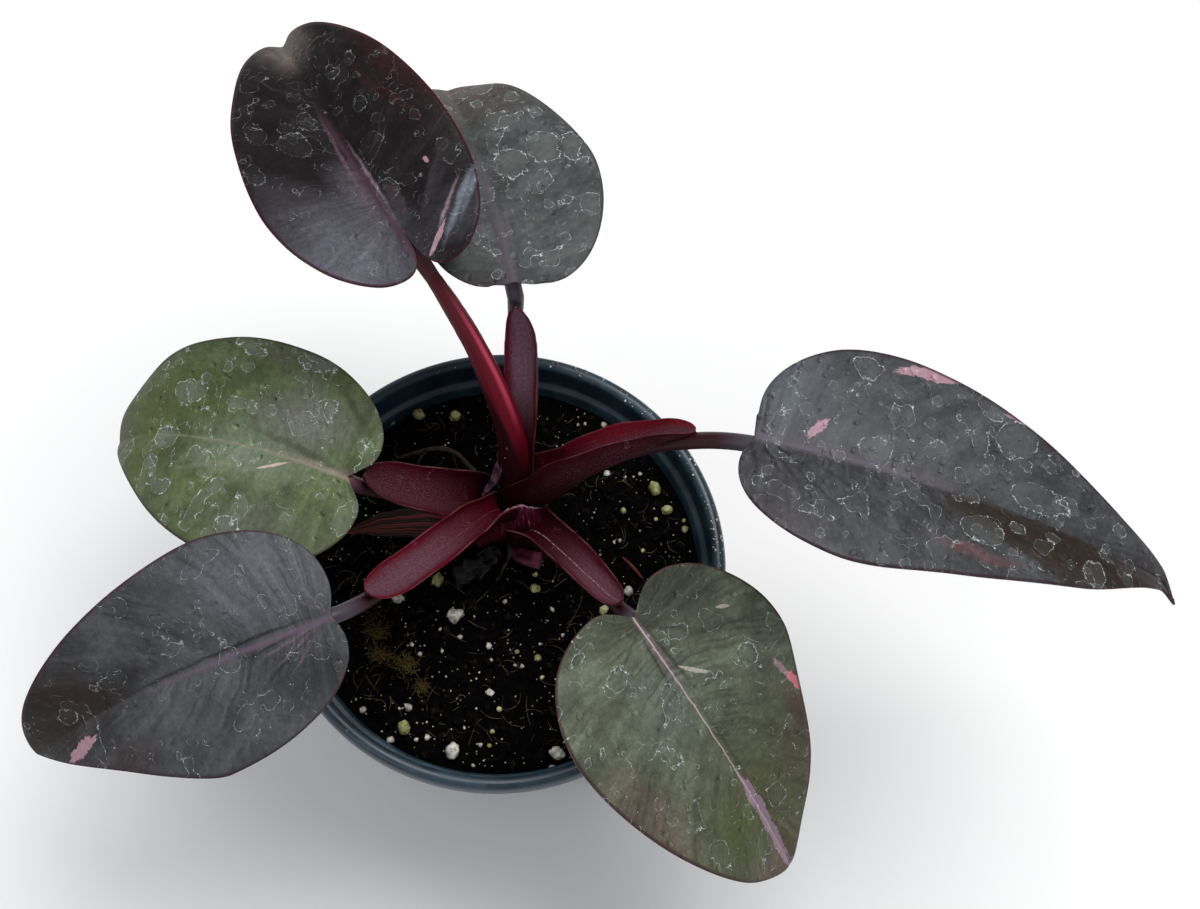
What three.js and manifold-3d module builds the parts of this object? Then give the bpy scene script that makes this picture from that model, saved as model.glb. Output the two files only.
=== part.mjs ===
// Potted burgundy princess philodendron: six leaves on winged stalks in a small nursery pot.
// Millimetres, +Z up. The origin is the centre of the pot's flat underside, +X to the viewer's right,
// +Y away from the viewer.
import * as THREE from 'three';
import { mergeVertices } from 'three/addons/utils/BufferGeometryUtils.js';
import Module from 'manifold-3d';

const wasm = await Module();
wasm.setup();

// Driving dimensions of the pot and its filling
const GAP = 0.3;
const RIM_RADIUS = 54;
const POT_HEIGHT = 90;
const FOOT_RADIUS = 37;
const WALL = 1.3;
const LIP_WIDTH = 3.4;
const LIP_DEPTH = 5.2;
const COLLAR_DEPTH = 9;
const COLLAR_STEP = 2;
const COLLAR_SLOPE = 1.5;
const FOOT_CHAMFER = 1;
const DRAIN_HOLES = 8;
const DRAIN_HOLE_RADIUS = 4;
const DRAIN_RING_RADIUS = 26;
const SOIL_TOP = 78;
const SOIL_MOUND = 1.2;
const ROUND_STEPS = 44;
const COLLAR_RADIUS = RIM_RADIUS - LIP_WIDTH + WALL;
const WALL_TOP = POT_HEIGHT - COLLAR_DEPTH - COLLAR_SLOPE;
const WALL_TOP_RADIUS = COLLAR_RADIUS - COLLAR_STEP;

// Driving dimensions of the plant
const STEM_AXIS = new THREE.Vector2(4.5, 14);
const STEM_FOOT = 55;
const STEM_TOP = 100;
const STEM_RADIUS = 5;
const STALK_RADIUS = 1.8;
const BLADE_THICKNESS = 0.8;
const BLADE_CUP = -15;
const BLADE_ROWS = 14;
const BLADE_COLUMNS = 4;

// Each stalk's route runs from the crown to its blade. width is half of the sheath, reach is the share of
// the route that the sheath covers, and roll turns the sheath's open side, in degrees.
const STALKS = {
  back_left: {
    route: [[4.5, 15, 99], [4, 19, 116], [1.5, 25.5, 134], [-3, 32.5, 149], [-8, 38, 159], [-13, 43, 167],
      [-17, 48, 172]],
    width: 3.6, reach: 0.6, roll: 45,
  },
  back: {
    route: [[5, 16.5, 95], [6, 22.5, 114], [6, 29.5, 130], [6.5, 36, 143], [6, 42, 158]],
    width: 3.4, reach: 0.87, roll: 0,
  },
  right: {
    route: [[6, 14, 94], [11.5, 16, 108], [22, 16, 122], [33, 15, 134], [41.5, 14, 142], [56.5, 9, 152]],
    width: 4.2, reach: 0.8, roll: 30,
  },
  front_left: {
    route: [[3, 13, 90], [-1.5, 10, 104], [-11.5, -2, 118], [-19.5, -13, 128], [-32.5, -25.5, 138]],
    width: 4.3, reach: 0.86, roll: 0,
  },
  front_right: {
    route: [[5, 11.5, 88], [7, 7.5, 102], [15, -1.5, 112], [23, -12, 121], [31.5, -25, 134]],
    width: 4, reach: 0.87, roll: 0,
  },
  left: {
    route: [[2, 13.5, 86], [-5, 11.5, 106], [-14, 9.5, 118], [-21.5, 8.5, 126], [-30.5, 6, 136]],
    width: 5, reach: 0.91, roll: 0,
  },
};

// Blade lengths and half widths in millimetres. heading is the compass angle from +X, pitch the rise of the
// midrib at its start, droop and tipDroop its fall along the blade, sweep its turn to the side, roll and
// twist its turn about itself, fold the rise of both halves, in degrees. fullness rounds the outer half of
// each side, widest is where a side is widest, and lobe how far it reaches back past the stalk.
const BLADES = {
  back_left: {
    length: 63, heading: 122, sweep: -5, pitch: -2, droop: 19, tipDroop: 14, roll: -1, twist: 11, fold: 21,
    tip: 0.45, left: { width: 24.5, widest: 14, lobe: 12, fullness: 0.4 },
    right: { width: 21.5, widest: 14, lobe: 13, fullness: 0.6 }, colour: 0x2f2226,
  },
  back: {
    length: 65, heading: 102, sweep: 10, pitch: 0, droop: 27, tipDroop: 18, roll: -8, twist: -7, fold: 16,
    tip: 0.45, left: { width: 20, widest: 23, lobe: 1, fullness: 0.55 },
    right: { width: 24, widest: 24, lobe: 2, fullness: 0.4 }, colour: 0x3b3a3a,
  },
  right: {
    length: 105, heading: -14, sweep: -5, pitch: 1, droop: 22, tipDroop: 28, roll: 10, twist: 1, fold: 14,
    tip: 0, left: { width: 27, widest: 28, lobe: 0.5, fullness: 0.25 },
    right: { width: 23.5, widest: 24, lobe: 2, fullness: 0.3 }, colour: 0x3d383b,
  },
  front_left: {
    length: 80, heading: 198, sweep: 2, pitch: -9, droop: 20, tipDroop: 19, roll: 7, twist: 21, fold: 16,
    tip: 0.35, left: { width: 24, widest: 31, lobe: 2, fullness: 0.2 },
    right: { width: 25, widest: 21, lobe: 2, fullness: 0.3 }, colour: 0x3a3437,
  },
  front_right: {
    length: 76, heading: -51, sweep: -1, pitch: -24, droop: 29, tipDroop: 6, roll: 7, twist: 14, fold: 13,
    tip: 0.3, left: { width: 27, widest: 23, lobe: 5, fullness: 0.3 },
    right: { width: 30.5, widest: 16, lobe: 6, fullness: 0.45 }, colour: 0x46493d,
  },
  left: {
    length: 70, heading: 156, sweep: 14, pitch: -3, droop: 34, tipDroop: 24, roll: 9, twist: -6, fold: 10,
    tip: 0.25, left: { width: 26.5, widest: 19, lobe: 6, fullness: 0.55 },
    right: { width: 24, widest: 26, lobe: 4.5, fullness: 0.6 }, colour: 0x4d5638,
  },
};

// Places on the soil, as x and y, with each grain's half width
const PERLITE = [
  [-10.5, -43, 1.9], [14, -43.5, 1.8], [-32, -33, 0.9], [-11, -10.5, 1.7], [-24.5, -6, 1.4], [31, -4, 1.2],
  [-2, -29, 1],
];
const PRILLS = [
  [-15, -1.5, 1.6], [-21, 41.5, 1.5], [-12, 41, 1.5], [37.5, 22, 1.7], [40.5, 16.5, 1.4], [-22, -37.5, 1.7],
  [8.5, -3.5, 1.2],
];
const PERLITE_FLATNESS = 0.8;
const PRILL_FLATNESS = 0.9;
const ROOTS = {
  left: {
    route: [[0, 16, 84], [-5, 22.5, 86], [-9, 26.5, 88.5], [-12, 28.5, 90], [-17, 29.5, 88],
      [-25.5, 30, 80]],
    radius: 0.7,
  },
  front: {
    route: [[2.5, 9.5, 86.5], [2, 5, 86], [2, 2.5, 85], [1, 0.5, 82], [-1, -1, 80.2]],
    radius: 0.6,
  },
};
const MOSS = { x: -28.5, y: -16, length: 8, width: 6, height: 1.6 };
const TWIG = { from: [29.5, 4.5], to: [34.5, -1], radius: 0.4 };

const degrees = THREE.MathUtils.degToRad;
const vector = ([x, y, z]) => new THREE.Vector3(x, y, z);
const smooth = (from, to, value) => THREE.MathUtils.smoothstep(value, from, to);

function soilHeight(x, y) {
  const share = Math.hypot(x, y) / RIM_RADIUS;
  return SOIL_TOP + SOIL_MOUND * (1 - share * share);
}

function material(colour, roughness) {
  return new THREE.MeshStandardMaterial({ color: colour, roughness, metalness: 0 });
}

function named(name, geometry, finish) {
  const mesh = new THREE.Mesh(geometry, finish);
  mesh.name = name;
  return mesh;
}

// Positions and triangles in, one closed geometry with merged points and outward faces out
function closedGeometry(points, triangles) {
  const loose = new THREE.BufferGeometry();
  const numbers = points.flatMap((p) => [p.x, p.y, p.z]);
  loose.setAttribute('position', new THREE.Float32BufferAttribute(numbers, 3));
  loose.setIndex(triangles.flat());
  return cleaned(loose);
}

function cleaned(geometry) {
  geometry.deleteAttribute('normal');
  geometry.deleteAttribute('uv');
  const merged = mergeVertices(geometry, 1e-4);
  const index = merged.index.array;
  const place = merged.attributes.position;
  const corner = [new THREE.Vector3(), new THREE.Vector3(), new THREE.Vector3()];
  const kept = [];
  let volume = 0;
  for (let i = 0; i < index.length; i += 3) {
    const [a, b, c] = index.slice(i, i + 3);
    if (a === b || b === c || c === a) continue;
    kept.push([a, b, c]);
    [a, b, c].forEach((n, k) => corner[k].fromBufferAttribute(place, n));
    volume += corner[0].dot(corner[1].clone().cross(corner[2]));
  }
  if (volume < 0) kept.forEach((triangle) => triangle.reverse());
  merged.setIndex(kept.flat());
  return merged;
}

function solidOf(geometry) {
  const ready = cleaned(geometry);
  return new wasm.Manifold(new wasm.Mesh({
    numProp: 3,
    vertProperties: new Float32Array(ready.attributes.position.array),
    triVerts: new Uint32Array(ready.index.array),
  }));
}

function geometryOf(solid) {
  const mesh = solid.getMesh();
  const geometry = new THREE.BufferGeometry();
  geometry.setAttribute('position', new THREE.BufferAttribute(mesh.vertProperties, 3));
  geometry.setIndex(new THREE.BufferAttribute(mesh.triVerts, 1));
  return geometry;
}

// Cuts every tool from a solid and keeps its largest remaining body
function cutBody(solid, tools) {
  const cut = tools.reduce((rest, tool) => rest.subtract(tool), solid);
  return cut.decompose().sort((a, b) => b.volume() - a.volume())[0];
}

// Closed skin through rings of points, with a fan at each end
function loft(rings) {
  const count = rings[0].length;
  const points = rings.flat();
  const triangles = [];
  for (let r = 0; r + 1 < rings.length; r += 1) {
    for (let i = 0; i < count; i += 1) {
      const next = (i + 1) % count;
      const here = r * count;
      const above = here + count;
      triangles.push([here + i, here + next, above + next], [here + i, above + next, above + i]);
    }
  }
  for (const [ring, flip] of [[0, true], [rings.length - 1, false]]) {
    const middle = new THREE.Vector3();
    rings[ring].forEach((p) => middle.add(p));
    points.push(middle.divideScalar(count));
    for (let i = 0; i < count; i += 1) {
      const side = [ring * count + i, ring * count + ((i + 1) % count)];
      if (flip) side.reverse();
      triangles.push([...side, points.length - 1]);
    }
  }
  return closedGeometry(points, triangles);
}

// Right, upper and forward directions at a share of a route, with the upper side rolled about the route
function routeFrame(curve, share, roll) {
  const forward = curve.getTangentAt(share);
  const right = new THREE.Vector3().crossVectors(forward, new THREE.Vector3(0, 0, 1)).normalize();
  const upper = new THREE.Vector3().crossVectors(right, forward).normalize();
  right.applyAxisAngle(forward, -degrees(roll));
  upper.applyAxisAngle(forward, -degrees(roll));
  return { origin: curve.getPointAt(share), right, upper };
}

// A stalk's section is a crescent along the sheath and round beyond it. With grow it is thicker all round
// and its hollow is filled, which gives the shape that its neighbours are cut clear of.
function stalkRing(stalk, curve, share, grow) {
  const outerSteps = 6;
  const innerSteps = 4;
  const sheathWall = 1;
  const open = 1 - smooth(stalk.reach - 0.06, stalk.reach, share);
  const swell = smooth(0, 0.3, share) * 0.3 + 0.7;
  const width = THREE.MathUtils.lerp(STALK_RADIUS, stalk.width * swell, open) + grow;
  const depth = THREE.MathUtils.lerp(STALK_RADIUS, stalk.width * 0.7, open) + grow;
  const inner = THREE.MathUtils.lerp(width, width - sheathWall, open);
  const hollow = THREE.MathUtils.lerp(-STALK_RADIUS - grow, grow > 0 ? -grow : stalk.width * 0.3, open);
  const frame = routeFrame(curve, share, stalk.roll);
  const beyond = grow * (share === 1) - grow * (share === 0);
  const origin = frame.origin.addScaledVector(curve.getTangentAt(share), beyond);
  const at = (x, z) => origin.clone().addScaledVector(frame.right, x).addScaledVector(frame.upper, z);
  const ring = [];
  for (let i = 0; i <= outerSteps; i += 1) {
    const angle = Math.PI * (1 + i / outerSteps);
    ring.push(at(width * Math.cos(angle), depth * Math.sin(angle)));
  }
  for (let i = 1; i < innerSteps; i += 1) {
    const angle = (Math.PI * i) / innerSteps;
    ring.push(at(inner * Math.cos(angle), -hollow * Math.sin(angle)));
  }
  return ring;
}

function stalkGeometry(stalk, grow = 0) {
  const steps = 17;
  const curve = new THREE.CatmullRomCurve3(stalk.route.map(vector));
  const rings = [];
  for (let i = 0; i <= steps; i += 1) rings.push(stalkRing(stalk, curve, i / steps, grow));
  return loft(rings);
}

// Flat outline of one blade side, as x out from the midrib and y along it, for a share from sinus to tip
function outlinePoint(blade, side, share, grow) {
  const width = side.width + grow;
  const length = blade.length + grow;
  const lobe = side.lobe + grow;
  const lobeReach = 0.3 * width;
  const round = 0.55;
  const rest = length - side.widest;
  const tipLift = 0.04 * rest;
  const arcs = [
    [[0, 0], [0.42 * lobeReach, -0.6 * lobe], [0.62 * lobeReach, -lobe], [lobeReach, -lobe]],
    [[lobeReach, -lobe], [lobeReach + round * (width - lobeReach), -lobe],
      [width, side.widest - round * (side.widest + lobe)], [width, side.widest]],
    [[width, side.widest], [width, side.widest + side.fullness * rest],
      [blade.tip * width, length - tipLift], [0, length]],
  ];
  const ends = [0, 0.15, 0.5, 1];
  const part = share <= ends[1] ? 0 : share <= ends[2] ? 1 : 2;
  const arc = arcs[part].map(([x, y]) => new THREE.Vector2(x, y));
  const local = (share - ends[part]) / (ends[part + 1] - ends[part]);
  return new THREE.CubicBezierCurve(...arc).getPoint(local);
}

// Direction of the midrib at a share of its length
function midribFrame(blade, share) {
  const rise = degrees(blade.pitch - blade.droop * share - blade.tipDroop * Math.max(share, 0) ** 3);
  const turn = degrees(blade.heading + blade.sweep * share);
  const along = new THREE.Vector3(
    Math.cos(rise) * Math.cos(turn), Math.cos(rise) * Math.sin(turn), Math.sin(rise));
  const right = new THREE.Vector3(Math.sin(turn), -Math.cos(turn), 0);
  const upper = new THREE.Vector3().crossVectors(right, along);
  const roll = degrees(blade.roll + blade.twist * THREE.MathUtils.clamp(share, 0, 1));
  right.applyAxisAngle(along, -roll);
  upper.applyAxisAngle(along, -roll);
  return { along, right, upper };
}

function midribPoint(blade, start, length) {
  const steps = 24;
  const point = start.clone();
  if (length < 0) return point.addScaledVector(midribFrame(blade, length / blade.length / 2).along, length);
  for (let i = 0; i < steps; i += 1) {
    const share = ((i + 0.5) / steps) * (length / blade.length);
    point.addScaledVector(midribFrame(blade, share).along, length / steps);
  }
  return point;
}

// A flat outline point set in space: along the bent midrib, then out over the folded and cupped half
function bladePoint(blade, start, side, sign, flat, lift) {
  const frame = midribFrame(blade, flat.y / blade.length);
  const angle = degrees(blade.fold + (BLADE_CUP * flat.x) / side.width / 2);
  return midribPoint(blade, start, flat.y)
    .addScaledVector(frame.right, sign * flat.x * Math.cos(angle))
    .addScaledVector(frame.upper, flat.x * Math.sin(angle) + lift);
}

function bladeGeometry(blade, start, grow = 0) {
  const midribSpacing = 1.9;
  const half = BLADE_THICKNESS / 2 + grow;
  const points = [];
  const triangles = [];
  const rowLength = 2 * BLADE_COLUMNS + 1;
  for (const lift of [half, -half]) {
    for (let row = 0; row <= BLADE_ROWS; row += 1) {
      const share = row / BLADE_ROWS;
      const root = new THREE.Vector2(0, (blade.length + grow) * share ** midribSpacing);
      for (let column = -BLADE_COLUMNS; column <= BLADE_COLUMNS; column += 1) {
        const side = column < 0 ? blade.left : blade.right;
        const edge = outlinePoint(blade, side, share, grow);
        const flat = root.clone().lerp(edge, Math.abs(column) / BLADE_COLUMNS);
        points.push(bladePoint(blade, start, side, Math.sign(column), flat, lift));
      }
    }
  }
  const below = rowLength * (BLADE_ROWS + 1);
  const quad = (a, b, c, d) => triangles.push([a, b, c], [a, c, d]);
  for (let row = 0; row < BLADE_ROWS; row += 1) {
    const here = row * rowLength;
    const next = here + rowLength;
    for (let i = 0; i + 1 < rowLength; i += 1) {
      quad(here + i, here + i + 1, next + i + 1, next + i);
      quad(below + here + i, below + next + i, below + next + i + 1, below + here + i + 1);
    }
    const last = rowLength - 1;
    quad(here, next, below + next, below + here);
    quad(here + last, below + here + last, below + next + last, next + last);
  }
  return closedGeometry(points, triangles);
}

function tubeGeometry(route, radius, steps) {
  const section = new THREE.Shape().absarc(0, 0, radius, 0, 2 * Math.PI);
  const curve = new THREE.CatmullRomCurve3(route.map(vector));
  return cleaned(new THREE.ExtrudeGeometry(section, { extrudePath: curve, steps, curveSegments: 4 }));
}

function potShell() {
  const lipInner = RIM_RADIUS - LIP_WIDTH;
  const lipBottom = POT_HEIGHT - LIP_DEPTH;
  const collarBottom = WALL_TOP + COLLAR_SLOPE;
  const edgeRound = 1.4;
  const innerRound = 0.6;
  const outside = [
    [0, 0], [FOOT_RADIUS, 0], [FOOT_RADIUS + FOOT_CHAMFER, FOOT_CHAMFER], [WALL_TOP_RADIUS, WALL_TOP],
    [COLLAR_RADIUS, collarBottom], [COLLAR_RADIUS, lipBottom], [RIM_RADIUS, lipBottom],
    [RIM_RADIUS, POT_HEIGHT - edgeRound], [RIM_RADIUS - 0.5 * edgeRound, POT_HEIGHT - 0.3 * edgeRound],
    [RIM_RADIUS - 1.2 * edgeRound, POT_HEIGHT],
  ];
  const inside = [
    [lipInner + innerRound, POT_HEIGHT - 0.3], [lipInner, POT_HEIGHT - 1],
    [lipInner, collarBottom + innerRound], [WALL_TOP_RADIUS - WALL, collarBottom],
    [FOOT_RADIUS - WALL + innerRound, WALL + innerRound],
    [FOOT_RADIUS - WALL, WALL], [0, WALL],
  ];
  const profile = [...outside, ...inside].map(([x, y]) => new THREE.Vector2(x, y));
  return new THREE.LatheGeometry(profile, ROUND_STEPS).rotateX(Math.PI / 2);
}

function drainHole(number) {
  const angle = (2 * Math.PI * (number + 0.5)) / DRAIN_HOLES;
  const hole = new THREE.CylinderGeometry(DRAIN_HOLE_RADIUS, DRAIN_HOLE_RADIUS, 4 * WALL, 14);
  hole.rotateX(Math.PI / 2);
  return hole.translate(DRAIN_RING_RADIUS * Math.cos(angle), DRAIN_RING_RADIUS * Math.sin(angle), 0);
}

function potSolid() {
  let pot = solidOf(potShell());
  for (let i = 0; i < DRAIN_HOLES; i += 1) pot = pot.subtract(solidOf(drainHole(i)));
  return pot;
}

// Radius of the root ball at a height, a gap inside the pot's sloping wall
function soilRadius(height) {
  const slope = (WALL_TOP_RADIUS - FOOT_RADIUS - FOOT_CHAMFER) / (WALL_TOP - FOOT_CHAMFER);
  return FOOT_RADIUS + FOOT_CHAMFER - WALL - 2 * GAP + slope * (height - FOOT_CHAMFER);
}

function soilSolid() {
  const rings = 5;
  const footRound = 1.5;
  const foot = WALL + GAP;
  const top = soilRadius(SOIL_TOP);
  const profile = [
    [0, foot], [soilRadius(foot) - footRound, foot], [soilRadius(foot + footRound), foot + footRound],
  ];
  for (let i = rings; i >= 0; i -= 1) profile.push([(top * i) / rings, soilHeight((top * i) / rings, 0)]);
  const ball = new THREE.LatheGeometry(profile.map(([x, y]) => new THREE.Vector2(x, y)), ROUND_STEPS);
  return solidOf(ball.rotateX(Math.PI / 2));
}

function stemGeometry(grow = 0) {
  const footRadius = 2.5;
  const topRadius = 1.8;
  const taper = 12;
  const shoulder = 4;
  const profile = [
    [0, STEM_FOOT - grow], [footRadius + grow, STEM_FOOT - grow], [STEM_RADIUS + grow, STEM_FOOT + taper],
    [STEM_RADIUS + grow, STEM_TOP - taper], [STEM_RADIUS - 1.5 + grow, STEM_TOP - shoulder],
    [topRadius + grow, STEM_TOP - 1], [0, STEM_TOP + grow],
  ];
  const stem = new THREE.LatheGeometry(profile.map(([x, y]) => new THREE.Vector2(x, y)), 16);
  stem.rotateX(Math.PI / 2);
  stem.translate(STEM_AXIS.x, STEM_AXIS.y, 0);
  return cleaned(stem);
}

function addGrains(name, places, flatness, finish) {
  places.forEach(([x, y, radius], i) => {
    const grain = new THREE.IcosahedronGeometry(radius, 0);
    grain.rotateZ(i);
    grain.scale(1, 0.86, flatness);
    grain.translate(x, y, soilHeight(x, y) + GAP + radius * flatness);
    plant.add(named(`${name}_${i + 1}`, cleaned(grain), finish));
  });
}

// Thin bent strip of leaf tissue: a route with half widths, open upwards
function stripGeometry(route, widths, thickness) {
  const across = 4;
  const steps = 8;
  const curl = 0.45;
  const curve = new THREE.CatmullRomCurve3(route.map(vector));
  const rings = [];
  for (let i = 0; i <= steps; i += 1) {
    const share = i / steps;
    const frame = routeFrame(curve, share, 0);
    const slot = Math.min(Math.floor(share * (widths.length - 1)), widths.length - 2);
    const width = THREE.MathUtils.lerp(widths[slot], widths[slot + 1], share * (widths.length - 1) - slot);
    const row = (z) => Array.from({ length: across + 1 }, (_, k) => {
      const x = (2 * k) / across - 1;
      return frame.origin.clone().addScaledVector(frame.right, x * width)
        .addScaledVector(frame.upper, z + curl * width * x * x);
    });
    rings.push([...row(-thickness / 2), ...row(thickness / 2).reverse()]);
  }
  return loft(rings);
}

function mossGeometry() {
  const dome = new THREE.LatheGeometry([
    new THREE.Vector2(0, 0), new THREE.Vector2(1, 0), new THREE.Vector2(0.8, 0.6), new THREE.Vector2(0, 1),
  ], 12);
  dome.rotateX(Math.PI / 2);
  dome.scale(MOSS.length, MOSS.width, MOSS.height);
  return cleaned(dome.translate(MOSS.x, MOSS.y, soilHeight(MOSS.x, MOSS.y) + 2 * GAP));
}

const potFinish = material(0x1b242d, 0.35);
const soilFinish = material(0x17120f, 0.95);
const perliteFinish = material(0xd8d6ca, 0.85);
const prillFinish = material(0xa9ab6a, 0.6);
const stemFinish = material(0x2c0d14, 0.6);
const stalkFinish = material(0x5a1326, 0.45);
const cataphyllFinish = material(0x2d1013, 0.7);
const witheredFinish = material(0x1c1512, 0.9);
const rootFinish = material(0x3b2a22, 0.85);
const twigFinish = material(0x5a2420, 0.8);
const mossFinish = material(0x5d4a22, 0.95);

const plant = new THREE.Group();
const stemGrown = solidOf(stemGeometry(GAP));
plant.add(named('pot', geometryOf(potSolid()), potFinish));
plant.add(named('soil', geometryOf(cutBody(soilSolid(), [stemGrown])), soilFinish));
plant.add(named('stem', stemGeometry(), stemFinish));

// Inner stalks first: each older one is cut clear of those that it wraps, of the stem and of its own blade
const inner = [stemGrown];
for (const [name, stalk] of Object.entries(STALKS)) {
  const blade = BLADES[name];
  const start = vector(stalk.route.at(-1));
  const ownBlade = solidOf(bladeGeometry(blade, start, GAP));
  const body = cutBody(solidOf(stalkGeometry(stalk)), [...inner, ownBlade]);
  inner.push(solidOf(stalkGeometry(stalk, GAP)));
  plant.add(named(`petiole_${name}`, geometryOf(body), stalkFinish));
  plant.add(named(`blade_${name}`, bladeGeometry(blade, start), material(blade.colour, 0.5)));
}

const cataphyllRoute = [[1, 12.5, 84], [-8, 9.5, 89], [-16, 9, 92], [-26.5, 8, 94], [-36, 6.5, 94]];
const cataphyll = solidOf(stripGeometry(cataphyllRoute, [2.6, 3.6, 4, 3.2, 0.6], 1));
plant.add(named('cataphyll', geometryOf(cutBody(cataphyll, inner)), cataphyllFinish));

const stubRoute = [[4.5, 10, 83.5], [5.5, 5, 83.5], [10, 1.5, 84.5]];
const stub = solidOf(stripGeometry(stubRoute, [1.8, 2.4, 2.4], 1.4));
plant.add(named('petiole_stub', geometryOf(cutBody(stub, inner)), stalkFinish));

const scrapRoute = [[0.5, 5.5, 83], [-4.5, 1, 84], [-8, -0.5, 82.5], [-10.5, -2.5, 80.8]];
const scrap = solidOf(stripGeometry(scrapRoute, [1.4, 2.4, 1.6, 0.5], 0.8));
plant.add(named('sheath_scrap', geometryOf(cutBody(scrap, inner)), witheredFinish));

for (const [name, { route, radius }] of Object.entries(ROOTS)) {
  const root = cutBody(solidOf(tubeGeometry(route, radius, 8)), inner);
  plant.add(named(`root_${name}`, geometryOf(root), rootFinish));
}

addGrains('perlite', PERLITE, PERLITE_FLATNESS, perliteFinish);
addGrains('prill', PRILLS, PRILL_FLATNESS, prillFinish);
const twigRoute = [TWIG.from, TWIG.to].map(([x, y]) => [x, y, soilHeight(x, y) + GAP + TWIG.radius]);
plant.add(named('twig', tubeGeometry(twigRoute, TWIG.radius, 2), twigFinish));
plant.add(named('moss_tuft', mossGeometry(), mossFinish));

export default plant;
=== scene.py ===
"""Potted burgundy princess philodendron: the visible pieces, their finishes, the camera and the light.

Lengths in the tables are millimetres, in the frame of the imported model: +Z up, the origin under the
middle of the pot, +Y away from the camera. Angles are degrees. A finish reads two maps of its piece:
vein runs from 0 to 1 across and along it, and flat is the unrolled surface in units of 100 mm.
"""

import math
import random

import bmesh
import bpy
import numpy as np
from mathutils import Matrix, Vector, noise

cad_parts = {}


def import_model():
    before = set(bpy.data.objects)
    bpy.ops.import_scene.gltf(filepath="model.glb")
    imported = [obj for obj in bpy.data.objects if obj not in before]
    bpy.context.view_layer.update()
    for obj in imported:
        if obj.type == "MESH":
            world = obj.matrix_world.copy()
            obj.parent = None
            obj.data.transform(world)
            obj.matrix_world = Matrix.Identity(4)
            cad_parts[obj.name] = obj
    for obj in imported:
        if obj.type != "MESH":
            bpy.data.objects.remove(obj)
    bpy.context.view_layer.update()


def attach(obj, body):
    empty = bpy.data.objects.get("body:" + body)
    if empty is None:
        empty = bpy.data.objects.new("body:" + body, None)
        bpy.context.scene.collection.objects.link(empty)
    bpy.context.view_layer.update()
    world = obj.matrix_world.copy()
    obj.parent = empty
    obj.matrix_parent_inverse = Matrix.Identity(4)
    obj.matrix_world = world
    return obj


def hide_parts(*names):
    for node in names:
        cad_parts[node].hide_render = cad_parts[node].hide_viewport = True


MM = 0.001

# The camera, in metres, and the size of the photograph in pixels
CAMERA_PLACE = (0.0241, -0.134, 0.5455)
CAMERA_TILT = 19.5
CAMERA_LENS = 60
SENSOR_WIDTH = 36
PHOTO_WIDTH = 1200
PHOTO_HEIGHT = 909

# Lamps, in metres: place, size, power and colour
LAMPS = {
    "key": ((0.28, 0.33, 1.33), 0.8, 15, (1, 0.99, 0.97)),
    "fill": ((-0.9, -0.5, 1.0), 1.0, 3, (0.95, 0.97, 1)),
}
LAMP_TARGET = (0, 0, 0.1)
SKY_COLOUR = (0.93, 0.96, 1, 1)
SKY_STRENGTH = 0.42
FLOOR_SIZE = 8
FLOOR_DROP = 0.0002

# The pot
RIM_RADIUS = 54
POT_HEIGHT = 90
FOOT_RADIUS = 37
WALL = 1.3
LIP_WIDTH = 3.4
LIP_DEPTH = 5.2
COLLAR_RADIUS = RIM_RADIUS - LIP_WIDTH + WALL
COLLAR_DEPTH = 9
WALL_TOP = 79.5
WALL_TOP_RADIUS = 49.9
DRAIN_HOLES = 8
DRAIN_HOLE_RADIUS = 4
DRAIN_RING_RADIUS = 26
POT_STEPS = 160
DROPLETS = 130
DROPLET_SIZES = (0.09, 0.12, 0.15, 0.2, 0.32)
DROPLET_HEADING = 18
DROPLET_SPREAD = 38

# The soil, whose loose surface is three layers of noise: (scale, seed, height)
SOIL_TOP = 78
SOIL_MOUND = 1.2
SOIL_RADIUS = 48.2
SOIL_FOOT_RADIUS = 35.8
SOIL_STEPS = 300
SOIL_RINGS = 96
LOOSE_LAYERS = [(0.16, 3, 0.9), (0.55, 7, 0.55), (1.6, 11, 0.3)]
CRUMBS = 1100
CRUMB_SIZES = (0.35, 0.5, 0.5, 0.7, 0.9, 1.2)
DUST_SPECKS = 230
SOIL_FIBRES = 260

# Grains seen in the photograph: x and y on the soil, half width and flatness
PERLITE = [(-10.5, -43, 1.9, 0.8), (14, -43.5, 1.8, 0.8), (-32, -33, 0.9, 0.8), (-11, -10.5, 1.7, 0.8),
           (-24.5, -6, 1.4, 0.8), (31, -4, 1.2, 0.8), (-2, -29, 1, 0.8)]
PRILLS = [(-15, -1.5, 1.6, 0.9), (-21, 41.5, 1.5, 0.9), (-12, 41, 1.5, 0.9), (37.5, 22, 1.7, 0.9),
          (40.5, 16.5, 1.4, 0.9), (-22, -37.5, 1.7, 0.9), (8.5, -3.5, 1.2, 0.9)]

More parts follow.
